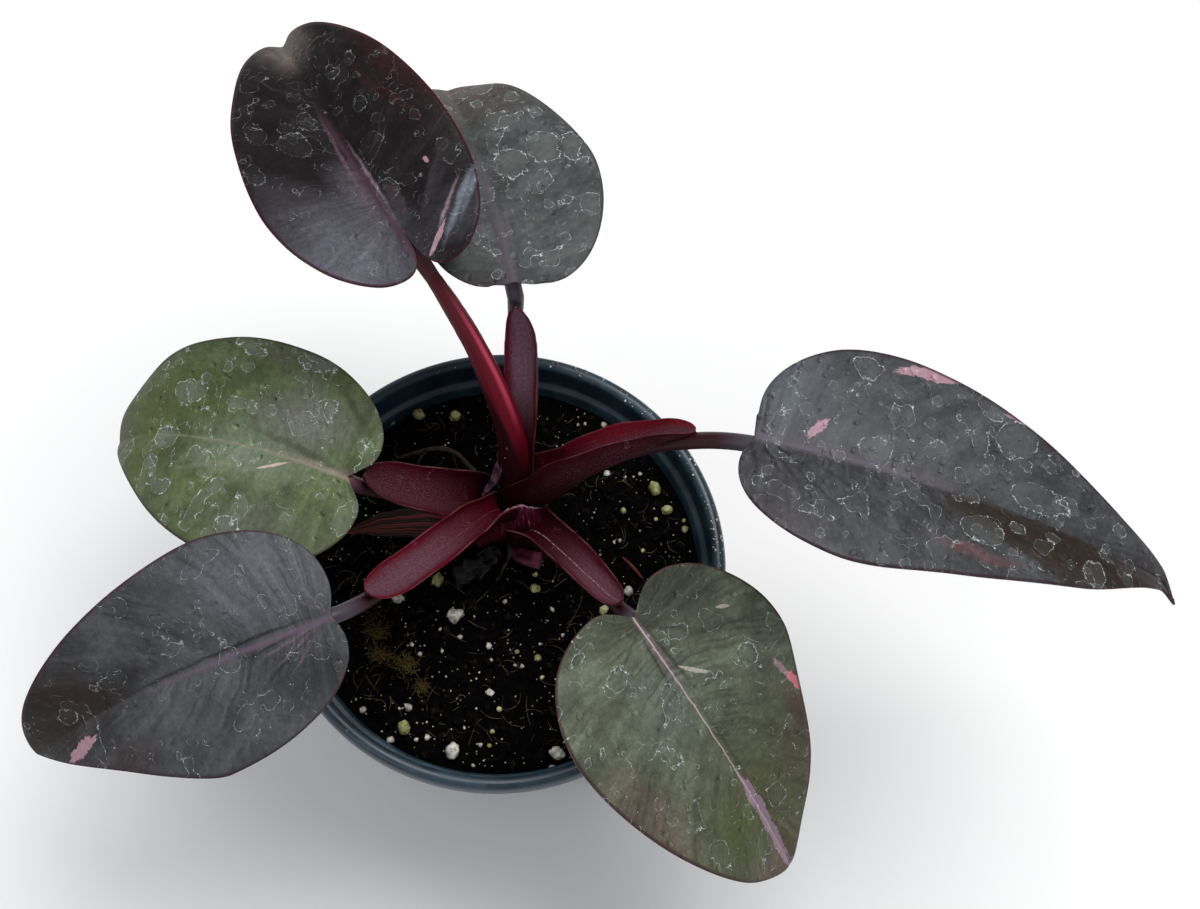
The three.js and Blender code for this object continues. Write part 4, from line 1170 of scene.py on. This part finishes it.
def side_outline(leaf, side, share):
    """x out from the midrib and y along it, for shares of one side from the sinus to the tip."""
    width, widest, lobe, fullness, tip = side
    length, lobe_x, closed = leaf["length"], LOBE_REACH * width, leaf["closed"]
    rest = length - widest
    arcs = [
        [(0, 0), (0.42 * (1 - closed) * lobe_x, -(0.6 + 0.25 * closed) * lobe),
         ((0.62 - 0.25 * closed) * lobe_x, -lobe), (lobe_x, -lobe)],
        [(lobe_x, -lobe), (lobe_x + 0.55 * (width - lobe_x), -lobe),
         (width, widest - 0.55 * (widest + lobe)), (width, widest)],
        [(width, widest), (width, widest + fullness * rest),
         (tip * width, length - 0.04 * rest), (0, length)],
    ]
    out = np.zeros((len(share), 2))
    for arc, first, last in zip(arcs, OUTLINE_SHARES, OUTLINE_SHARES[1:]):
        here = (share >= first) & (share <= last)
        out[here] = bezier(arc, (share[here] - first) / (last - first))
    return out


def midrib_frame(leaf, share):
    """Directions along the midrib, to its right and up, at shares of the leaf's length."""
    rise = np.radians(leaf["pitch"] - leaf["droop"] * share - leaf["tip_droop"] * np.maximum(share, 0)**3)
    turn = np.radians(leaf["heading"] + leaf["sweep"] * share)
    along = np.column_stack([np.cos(rise) * np.cos(turn), np.cos(rise) * np.sin(turn), np.sin(rise)])
    right = np.column_stack([np.sin(turn), -np.cos(turn), np.zeros(len(share))])
    roll = np.radians(leaf["roll"] + leaf["twist"] * np.clip(share, 0, 1))
    return along, *turned(roll, right, np.cross(right, along))


def midrib_places(leaf, start, y):
    length = leaf["length"]
    samples = np.linspace(0, 1.02, 205)
    along = midrib_frame(leaf, (samples[1:] + samples[:-1]) / 2)[0]
    line = np.vstack([np.zeros(3), np.cumsum(along * (samples[1] - samples[0]) * length, axis=0)])
    ahead = np.column_stack([np.interp(np.maximum(y, 0) / length, samples, line[:, k]) for k in range(3)])
    behind = midrib_frame(leaf, y / length / 2)[0] * np.minimum(y, 0)[:, None]
    return np.array(start, float) + ahead + behind


def flat_places(leaf, u, v):
    """Signed and plain x and y on the flat leaf, with the margin's notch and hook, and the share of the
    way from the midrib to the margin."""
    outward = np.abs(2 * u - 1)
    sign = np.where(u < 0.5, -1.0, 1.0)
    left, right = (side_outline(leaf, leaf[side], v) for side in ("left", "right"))
    edge = np.where(u[:, None] < 0.5, left, right)
    dents = np.array([noise.noise(Vector((a * 9, b * 3, leaf["heading"]))) for a, b in zip(v, sign)])
    edge[:, 0] += MARGIN_UNEVEN * dents * np.sin(np.pi * v)
    depth, spread = leaf["notch"]
    edge[:, 1] -= depth * np.exp(-((edge[:, 0] / spread) ** 2)) * (v > 0.75)
    root = (leaf["length"] - depth) * v**MIDRIB_SPACING
    x = edge[:, 0] * outward
    y = root + (edge[:, 1] - root) * outward
    y -= VEIN_BEND * np.sin(np.pi * outward) * (edge[:, 1] - root)
    far = y / leaf["length"]
    aside = leaf["lean"] * eased((far - 0.7) / 0.22) + leaf["hook"] * eased((far - 0.93) / 0.07)
    return sign * x + aside, x, y, outward


def blade_lift(leaf, x, y, outward, v, seed):
    """Height of the leaf's own relief: pillows between veins, the midrib's groove and a wavy margin."""
    pillow = np.abs(np.sin(np.pi * VEIN_PAIRS * v)) ** 0.6 * np.sin(np.pi * outward) ** 0.7
    fade = np.clip(v / 0.15, 0, 1) * np.clip((1 - v) / 0.15, 0, 1)
    groove = np.exp(-((x / MIDRIB_GROOVE_WIDTH) ** 2)) * np.clip(y / 8, 0, 1) * np.clip(1.1 - v, 0, 1)
    wave = np.sin(2 * np.pi * (MARGIN_WAVES * v + 0.37 * seed)) * outward**3
    uneven = np.array([noise.noise(Vector((a * 0.07, b * 0.07, seed))) for a, b in zip(x, y)])
    return (PILLOW * pillow * fade - MIDRIB_GROOVE * groove + leaf["wave"] * wave * fade
            + 0.5 * uneven * outward)


def make_leaf(name, seed, *finishes):
    leaf, start = LEAVES[name], STALKS[name]["route"][-1]

    def place(u, v):
        signed, x, y, outward = flat_places(leaf, u, v)
        width = np.where(u < 0.5, leaf["left"][0], leaf["right"][0])
        angle = np.radians(leaf["fold"] + BLADE_CUP * x / width / 2)
        _, right, upper = midrib_frame(leaf, y / leaf["length"])
        lift = blade_lift(leaf, signed, y, outward, v, seed)
        places = offset(midrib_places(leaf, start, y), right, signed * np.cos(angle),
                        upper, x * np.sin(angle) + lift)
        return places, np.column_stack([signed, y]), np.ones(len(u))

    obj = sheet(f"leaf_{name}", BLADE_STEPS, place, BLADE_THICKNESS, *finishes)
    piece(obj, LEAF_SLOTS[name], f"blade_{name}")


# Stalks


def sheath_place(stalk, line):
    """The sheath's inner face: two arcs, left and right, that meet along the route."""
    def place(u, v):
        tip = np.clip((v - SHEATH_TIP_ROW) / (1 - SHEATH_TIP_ROW), 0, 1)
        closing = np.sin(tip * np.pi / 2)
        along = np.clip(v / SHEATH_TIP_ROW, 0, 1) * stalk["tip"] + closing * (1 - stalk["tip"])
        share = along * stalk["reach"]
        side = 2 * u - 1
        left_width, left_bend, right_width, right_bend = (
            keyed(stalk["sheath"], share, column) for column in range(1, 5))
        width = np.where(side < 0, left_width, right_width)
        bend = np.radians(np.where(side < 0, left_bend, right_bend))
        radius = width / bend
        angle = bend * side * np.cos(tip * np.pi / 2)
        roll = keyed(stalk["roll"], share)
        origin, right, upper = heading_frame(line, share, stalk["heading"], roll, stalk["upright"])
        wave = 0.1 * np.sin(share * 31 + 2 * side) * np.abs(side) ** 4
        floor = stalk["hood"] * closing**2 + wave
        places = offset(origin, right, radius * np.sin(angle), upper, floor + radius * (1 - np.cos(angle)))
        weights = (0.14 + 0.86 * (1 - side**2) ** 1.5) * (1 - 0.65 * eased((v - 0.55) / 0.35))
        return places, np.column_stack([side * width, share * 100]), weights
    return place


def stalk_place(stalk, line, part):
    """The round stalk and midrib. part is the share of the whole line that the stalk's own route takes."""
    covered, rest = part * stalk["reach"], 1 - part
    radii = [(covered * share, radius) for share, radius in COVERED_RADII]
    radii.append((part * 0.98, STALK_RADIUS))
    radii += [(part + rest * share, radius) for share, radius in MIDRIB_RADII]
    start = 0.5 * covered

    def place(u, v):
        share = start + (1 - start) * np.clip((v - 0.01) / 0.98, 0, 1)
        radius = keyed(radii, share) * np.where((v < 0.005) | (v > 0.995), 0, 1)
        origin, right, upper = heading_frame(line, share, stalk["heading"])
        angle = 2 * np.pi * u
        places = offset(origin, right, radius * np.cos(angle), upper, radius * np.sin(angle))
        return places, np.column_stack([u * 10, share / part * 50]), np.ones(len(u))
    return place


def rib_route(name, line):
    """The middle of the round stalk, which lies below the sheath's floor and goes on under the blade,
    where the stalk becomes the raised midrib."""
    stalk, leaf = STALKS[name], LEAVES[name]
    last, first = STALK_JOINT.get(name, (0.5 + 0.5 / stalk["reach"], 0.025))
    share = np.array([*STALK_SHARES, last]) * stalk["reach"]
    roll = keyed(stalk["roll"], share)
    origin, right, upper = heading_frame(line, share, stalk["heading"], roll, stalk["upright"])
    aside = np.array(STALK_SHIFTS) * STALK_ASIDE.get(name, 0)
    drop = np.array(STALK_DROPS) * STALK_DROP.get(name, 1)
    inside = offset(origin, right, aside, upper, -drop)
    y = np.array([first, first + 0.055, *MIDRIB_SHARES]) * leaf["length"]
    upper = midrib_frame(leaf, y / leaf["length"])[2]
    under = midrib_places(leaf, stalk["route"][-1], y) - upper * np.array(MIDRIB_DROPS)[:, None]
    return np.vstack([inside, under])


def make_stalk(name, inside, outside, bare):
    stalk = STALKS[name]
    line, length = path_points(stalk["route"])
    sheath = sheet("sheath", SHEATH_STEPS, sheath_place(stalk, line), SHEATH_THICKNESS, inside, outside)
    long_line, long_length = path_points(rib_route(name, line), 600)
    stalk_tube = tube("tube", STALK_STEPS, stalk_place(stalk, long_line, length / long_length), bare)
    only(sheath)
    stalk_tube.select_set(True)
    bpy.ops.object.join()
    sheath.name = sheath.data.name = f"stalk_{name}"
    piece(sheath, "petiole", f"petiole_{name}")


def make_fold(*finishes):
    rim, _ = path_points(FOLD_RIM)

    def place(u, v):
        down = 1 - v
        flare = FOLD_FLARE * (0.45 + 0.55 * eased((u - 0.1) / 0.4))
        middle = np.exp(-(((u - 0.55) / 0.24) ** 2))
        pleat = 0.3 * np.sin(2 * np.pi * FOLD_PLEATS * u) * middle * np.sin(np.pi * np.clip(down * 1.3, 0, 1))
        out = flare * down**0.8 + 0.8 * np.sin(np.pi * down) + pleat
        outward = np.column_stack([0.3 * (u - 0.4), -np.ones(len(u)), np.zeros(len(u))])
        places = at_share(rim, u) + outward * out[:, None]
        places[:, 2] -= FOLD_DROP * down + 0.25 * np.sin(40 * u) * middle * v**4
        return places, np.column_stack([u * 20, v * 12]), 1 - 0.6 * v**6

    piece(sheet("crown_fold", FOLD_STEPS, place, FOLD_THICKNESS, *finishes), "petiole")


def make_strip(name, finish, slot, *nodes):
    steps, route, widths, curl, heading, crumple, thickness = STRIPS[name]
    line, _ = path_points(route)
    keys = [(k / (len(widths) - 1), width) for k, width in enumerate(widths)]

    def place(u, v):
        width = keyed(keys, v)
        origin, right, upper = heading_frame(line, v, heading)
        side = 2 * u - 1
        places = offset(origin, right, side * width, upper, curl * width * side**2)
        shake = [[noise.noise(Vector(p * 0.5 + shift)) for shift in CRUMPLE_SHIFTS] for p in places]
        places = places + np.array(shake) * crumple
        return places, np.column_stack([side * width, v * 100]), 1 - 0.5 * np.abs(side) ** 4

    piece(sheet(name, steps, place, thickness, finish), slot, *nodes)


def make_stub(finish):
    """A short channelled stalk, cut off at its far end."""
    line, _ = path_points(STUB_ROUTE)

    def place(u, v):
        angle = 2 * np.pi * u
        cap = np.sqrt(np.clip((1 - v) / (1 - STUB_CAP_ROW), 0, 1))
        cap = np.where(v > STUB_CAP_ROW, cap, 1) * np.where(v < 0.01, 0, 1)
        share = np.clip(v / STUB_CAP_ROW, 0, 1)
        groove = 1 - 0.42 * np.exp(-(((angle - np.pi / 2) / 0.5) ** 2))
        radius = (1.5 + 0.35 * share + 0.12 * np.sin(9 * share + 3 * angle)) * groove * cap
        origin, right, upper = heading_frame(line, share, STUB_HEADING)
        places = offset(origin, right, 1.15 * radius * np.cos(angle), upper, 0.8 * radius * np.sin(angle))
        return places, np.column_stack([u * 10, v * 8]), np.ones(len(u))

    piece(tube("cut_stub", STUB_STEPS, place, finish), "petiole", "petiole_stub")


def make_stem(finish):
    obj = spun("stem_core", STEM_PROFILE, 40)
    apply_modifier(obj, "SUBSURF", levels=2, render_levels=2)
    for vertex in obj.data.vertices:
        x, y, z = vertex.co / MM
        swell = 1 + 0.05 * math.sin(z * 1.1) + 0.08 * noise.noise(Vector((x, y, z)) * 0.35)
        vertex.co = Vector((x * swell + STEM_AXIS[0], y * swell + STEM_AXIS[1], z)) * MM
    give(obj, finish)
    piece(obj, "stem", "stem")


def make_plant():
    below = underside_finish()
    sheaths = {name: sheath_finish(name) for name in SHEATH_TONES}
    outside = {"back_left": ribbed_finish()}
    bare = {name: stalk_finish(finish) for name, finish in STALK_FINISHES.items()}
    for seed, name in enumerate(LEAVES, 1):
        make_leaf(name, seed, leaf_finish(name, seed), below)
        make_stalk(name, sheaths[name], outside.get(name, sheaths["outside"]), bare.get(name, bare["usual"]))
    make_fold(fold_finish(), sheaths["outside"])
    make_stem(fibre_finish("stem skin"))
    make_strip("papery_edge", fibre_finish("papery tissue", 700), "petiole")
    make_strip("outer_sheath", striped_finish(), "old_sheath", "cataphyll")
    make_stub(fibre_finish("stub skin"))
    make_strip("withered_scrap", fibre_finish("withered tissue"), "withered", "sheath_scrap")


# The pot


def pot_profile():
    """The wall's section from the axis out along the outside, over the lip and back along the inside."""
    lip_inner = RIM_RADIUS - LIP_WIDTH
    lip_bottom = POT_HEIGHT - LIP_DEPTH
    collar_bottom = POT_HEIGHT - COLLAR_DEPTH
    wall_inner = WALL_TOP_RADIUS - WALL
    outside = [
        (0, 0), (FOOT_RADIUS, 0), (FOOT_RADIUS + 1, 1), (WALL_TOP_RADIUS, WALL_TOP),
        (COLLAR_RADIUS, collar_bottom), (COLLAR_RADIUS, lip_bottom), (RIM_RADIUS - 0.3, lip_bottom),
        (RIM_RADIUS, lip_bottom + 0.5), (RIM_RADIUS, POT_HEIGHT - 1.5), (RIM_RADIUS - 0.5, POT_HEIGHT - 0.5),
        (RIM_RADIUS - 1.5, POT_HEIGHT),
    ]
    inside = [
        (lip_inner + 0.9, POT_HEIGHT - 0.15), (lip_inner + 0.2, POT_HEIGHT - 0.7),
        (lip_inner, POT_HEIGHT - 1.6), (lip_inner, collar_bottom + 1.2),
        (lip_inner - 0.3, collar_bottom + 0.6), (wall_inner + 0.3, collar_bottom + 0.3),
        (wall_inner - 0.1, collar_bottom - 0.5), (FOOT_RADIUS - WALL + 1, WALL + 1),
        (FOOT_RADIUS - WALL, WALL), (0, WALL),
    ]
    return outside + inside


def make_pot(finish):
    obj = spun("pot_moulding", pot_profile(), POT_STEPS)
    apply_modifier(obj, "BEVEL", width=0.3 * MM, segments=2, limit_method="ANGLE",
                   angle_limit=math.radians(25))
    for number in range(DRAIN_HOLES):
        angle = 2 * math.pi * (number + 0.5) / DRAIN_HOLES
        place = (DRAIN_RING_RADIUS * math.cos(angle) * MM, DRAIN_RING_RADIUS * math.sin(angle) * MM, 0)
        bpy.ops.mesh.primitive_cylinder_add(
            vertices=32, radius=DRAIN_HOLE_RADIUS * MM, depth=4 * WALL * MM, location=place)
        punch = bpy.context.object
        apply_modifier(obj, "BOOLEAN", operation="DIFFERENCE", object=punch, solver="EXACT")
        bpy.data.objects.remove(punch)
    merge_doubles(obj, 0.01)
    give(obj, finish)
    piece(obj, "pot_plastic", "pot")
    only(obj)
    bpy.ops.object.shade_smooth_by_angle(angle=math.radians(40))


# The soil and what lies on it


def soil_height(x, y):
    share = math.hypot(x, y) / RIM_RADIUS
    return SOIL_TOP + SOIL_MOUND * (1 - share * share)


def crumbled(x, y):
    """Height of the loose soil surface above its smooth mound."""
    return sum(noise.noise(Vector((x * scale, y * scale, seed))) * height
               for scale, seed, height in LOOSE_LAYERS)


def on_loose_soil(x, y, lift):
    return x, y, soil_height(x, y) + crumbled(x, y) + lift


def on_soil(px, py):
    """The x and y on the soil seen at a pixel of the photograph."""
    tilt = math.radians(CAMERA_TILT)
    focal = CAMERA_LENS / SENSOR_WIDTH * PHOTO_WIDTH
    right, down = (px - PHOTO_WIDTH / 2) / focal, (py - PHOTO_HEIGHT / 2) / focal
    ray = Vector((right, math.sin(tilt) - down * math.cos(tilt), -math.cos(tilt) - down * math.sin(tilt)))
    origin = Vector(CAMERA_PLACE) / MM
    spot = origin + ray * ((SOIL_TOP + 1.5 - origin.z) / ray.z)
    return spot.x, spot.y


def soil_spot(chance, margin=1):
    """A random x and y on the soil."""
    radius = math.sqrt(chance.uniform(0, (SOIL_RADIUS - margin) ** 2))
    angle = chance.uniform(0, 2 * math.pi)
    return radius * math.cos(angle), radius * math.sin(angle)


def random_turn(chance):
    turn = Matrix.Rotation(chance.uniform(0, 2 * math.pi), 3, "Z").to_quaternion()
    return turn @ Vector([chance.uniform(-1, 1) for _ in range(3)]).to_track_quat("Z", "Y")


def random_scale(chance, size, low, high):
    return [size * chance.uniform(low, high) for _ in range(3)]


def lump(subdivisions, bumps, seed):
    """A rough unit ball as a bmesh: an ico sphere pushed in and out by a noise."""
    ball = bmesh.new()
    bmesh.ops.create_icosphere(ball, subdivisions=subdivisions, radius=1)
    for vertex in ball.verts:
        shift = noise.noise(vertex.co * 1.6 + Vector((seed, 0, 0))) + 0.5 * noise.noise(vertex.co * 3.7)
        vertex.co *= 1 + bumps * shift
    return ball


def scatter(name, base, spots, finish, slot, *nodes):
    """One piece of copies of base, a bmesh, at each (place, turn, scale)."""
    mesh, part = bpy.data.meshes.new(name), bpy.data.meshes.new("part")
    whole = bmesh.new()
    for place, turn, scale in spots:
        copy = base.copy()
        matrix = Matrix.Translation(Vector(place) * MM) @ turn.to_matrix().to_4x4()
        copy.transform(matrix @ Matrix.Diagonal((*[s * MM for s in scale], 1)))
        copy.to_mesh(part)
        whole.from_mesh(part)
        copy.free()
    whole.to_mesh(mesh)
    whole.free()
    bpy.data.meshes.remove(part)
    obj = placed(name, mesh)
    give(obj, finish)
    piece(obj, slot, *nodes)


def make_soil(finish):
    foot = WALL + 0.3
    profile = [(0, foot), (SOIL_FOOT_RADIUS - 1.3, foot), (SOIL_FOOT_RADIUS, foot + 1.5)]
    profile += [(SOIL_RADIUS * k / SOIL_RINGS, SOIL_TOP) for k in range(SOIL_RINGS, -1, -1)]
    obj = spun("soil_ball", profile, SOIL_STEPS)
    for vertex in obj.data.vertices:
        x, y, z = vertex.co / MM
        if z > SOIL_TOP - 1:
            edge = min(1, max((SOIL_RADIUS - math.hypot(x, y)) / 2, 0))
            vertex.co.z = (soil_height(x, y) + crumbled(x, y) - 0.6 * (1 - edge)) * MM
    give(obj, finish)
    piece(obj, "peat", "soil")


def make_crumbs(finish):
    chance = random.Random(11)
    spots = []
    for _ in range(CRUMBS):
        x, y = soil_spot(chance)
        size = chance.choice(CRUMB_SIZES)
        scale = random_scale(chance, size, 0.7, 1.2)
        spots.append((on_loose_soil(x, y, size * 0.25), random_turn(chance), scale))
    scatter("soil_crumbs", lump(1, 0.5, 4), spots, finish, "peat")


def make_grains(name, places, finish, seed):
    for number, (x, y, radius, flatness) in enumerate(places, 1):
        place = (x, y, soil_height(x, y) + 0.3 + radius * flatness)
        turn = Matrix.Rotation(number * 1.3, 3, "Z").to_quaternion()
        spots = [(place, turn, (radius, radius * 0.86, radius * flatness))]
        base = lump(3, 0.28, seed + number)
        scatter(f"{name}_grain_{number}", base, spots, finish, name, f"{name}_{number}")


def make_specks(name, pixels, finish, seed):
    chance = random.Random(seed)
    spots = []
    for px, py, half in pixels:
        size = half * PIXEL
        scale = random_scale(chance, size, 0.75, 1.1)
        spots.append((on_loose_soil(*on_soil(px, py), size * 0.5), random_turn(chance), scale))
    for _ in range(DUST_SPECKS):
        x, y = soil_spot(chance)
        size = chance.uniform(0.1, 0.3)
        spots.append((on_loose_soil(x, y, size * 0.5), random_turn(chance), [size] * 3))
    scatter(f"{name}_specks", lump(1, 0.5, seed), spots, finish, name)


# Water droplets on the lip, painted pale as their glints.
def make_droplets(finish):
    chance = random.Random(21)
    spots = []
    for _ in range(DROPLETS):
        angle = math.radians(chance.gauss(DROPLET_HEADING, DROPLET_SPREAD))
        radius = RIM_RADIUS - 0.4 - 2.6 * chance.random()
        size = chance.choice(DROPLET_SIZES)
        place = (radius * math.cos(angle), radius * math.sin(angle), POT_HEIGHT - 0.03)
        spots.append((place, random_turn(chance), [size * chance.uniform(0.7, 1.2), size, size * 0.6]))
    scatter("lip_droplets", lump(2, 0.1, 2), spots, finish, "pot_plastic")


def thread(points, radius, sides):
    """A thin closed tube through points, as lists of vertices and faces."""
    line, _ = path_points(points, 14)
    tangent = unit(np.gradient(line, axis=0))
    right = unit(np.cross(tangent, np.tile([0.3, 0.2, 1.0], (len(line), 1))))
    upper = np.cross(right, tangent)
    steps = len(line)
    taper = np.sin(np.linspace(0.25, np.pi - 0.25, steps)) ** 0.4
    vertices, faces = [], []
    for k in range(steps):
        for s in range(sides):
            angle = 2 * math.pi * s / sides
            spread = right[k] * math.cos(angle) + upper[k] * math.sin(angle)
            vertices.append(tuple((line[k] + spread * radius * taper[k]) * MM))
    for k in range(steps - 1):
        for s in range(sides):
            a, b = k * sides + s, k * sides + (s + 1) % sides
            faces.append((a, b, b + sides, a + sides))
    faces.append(tuple(range(sides))[::-1])
    faces.append(tuple((steps - 1) * sides + s for s in range(sides)))
    return vertices, faces


def make_threads(name, lines, sides, finish, slot, *nodes):
    """One piece of thin tubes, each from (points, radius)."""
    vertices, faces = [], []
    for points, radius in lines:
        more, sheets = thread(points, radius, sides)
        faces += [tuple(i + len(vertices) for i in face) for face in sheets]
        vertices += more
    obj = mesh_object(name, vertices, [], faces)
    face_outwards(obj)
    give(obj, finish)
    piece(obj, slot, *nodes)


def lying_line(chance, x, y, length, lift):
    """A curved line that lies on the soil round (x, y)."""
    heading = chance.uniform(0, 2 * math.pi)
    bend = chance.uniform(-1.2, 1.2)
    points = []
    for k in range(5):
        share = k / 4 - 0.5
        angle = heading + bend * share
        px = x + length * share * math.cos(angle)
        py = y + length * share * math.sin(angle)
        top = soil_height(px, py) + max(crumbled(px, py), 0)
        points.append((px, py, top + lift * (0.4 + chance.random())))
    return points


def make_fibres(finish):
    chance = random.Random(5)
    lines = []
    for _ in range(SOIL_FIBRES):
        x, y = soil_spot(chance, 4)
        lines.append((lying_line(chance, x, y, chance.uniform(2, 7), 0.35), chance.uniform(0.06, 0.14)))
    make_threads("soil_fibres", lines, 3, finish, "root")


def make_moss(finish):
    chance = random.Random(8)
    lines = []
    for (px, py), half_x, half_y in MOSS_SPOTS:
        for _ in range(half_x * 7):
            x, y = on_soil(px + chance.gauss(0, 0.5) * half_x, py + chance.gauss(0, 0.5) * half_y)
            lines.append((lying_line(chance, x, y, chance.uniform(1.5, 4), 1.1), chance.uniform(0.08, 0.22)))
    make_threads("moss_fibres", lines, 3, finish, "moss", "moss_tuft")


def make_roots(finish):
    make_threads("aerial_root_left", ROOT_LEFT, 10, finish, "root", "root_left")
    make_threads("aerial_root_front", ROOT_FRONT, 10, finish, "root", "root_front")
    thin = []
    for pixels in THIN_ROOT_PIXELS:
        spots = [on_soil(*pixel) for pixel in pixels]
        thin.append(([(x, y, soil_height(x, y) + 1) for x, y in spots], THIN_ROOT_RADIUS))
    make_threads("thin_roots", thin, 5, finish, "root")


def make_filling():
    make_soil(soil_finish("peat"))
    make_crumbs(soil_finish("peat crumbs"))
    perlite, prill = grain_finish("perlite", 600, 0.6), grain_finish("prill", 420, 0.35)
    make_grains("perlite", PERLITE, perlite, 3)
    make_grains("prill", PRILLS, prill, 9)
    make_specks("perlite", WHITE_SPECKS, perlite, 31)
    make_specks("prill", GREEN_SPECKS, prill, 32)
    make_fibres(fibre_finish("soil fibre"))
    make_moss(fibre_finish("moss", 120))
    make_roots(fibre_finish("root skin"))
    make_threads("red_twig", TWIG, 8, fibre_finish("twig bark"), "twig", "twig")


# Camera, floor and light


def make_camera():
    data = bpy.data.cameras.new("camera")
    data.lens = CAMERA_LENS
    data.sensor_width = SENSOR_WIDTH
    data.clip_start = 0.01
    data.clip_end = 20
    camera = placed("camera", data)
    camera.location = CAMERA_PLACE
    camera.rotation_euler = (math.radians(CAMERA_TILT), 0, 0)
    bpy.context.scene.camera = camera


def make_floor():
    bpy.ops.mesh.primitive_plane_add(size=FLOOR_SIZE, location=(0, 0, -FLOOR_DROP))
    floor = bpy.context.object
    floor.name = "floor"
    give(floor, toned_finish("floor", 3, 1, 0.05, 0.9))


def make_light():
    world = bpy.data.worlds.new("studio")
    world.use_nodes = True
    background = world.node_tree.nodes["Background"]
    background.inputs["Color"].default_value = SKY_COLOUR
    background.inputs["Strength"].default_value = SKY_STRENGTH
    bpy.context.scene.world = world
    for name, (place, size, power, colour) in LAMPS.items():
        data = bpy.data.lights.new(name, "AREA")
        data.shape = "DISK"
        data.size = size
        data.energy = power
        data.color = colour
        light = placed(name, data)
        light.location = place
        light.rotation_euler = (Vector(place) - Vector(LAMP_TARGET)).to_track_quat("Z", "Y").to_euler()


def main():
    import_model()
    make_camera()
    make_floor()
    make_light()
    bpy.context.scene.view_settings.view_transform = "Standard"
    make_pot(plastic_finish())
    make_filling()
    make_droplets(toned_finish("droplets with painted glints", 900, 2, 0.2, 0.15))
    make_plant()


main()
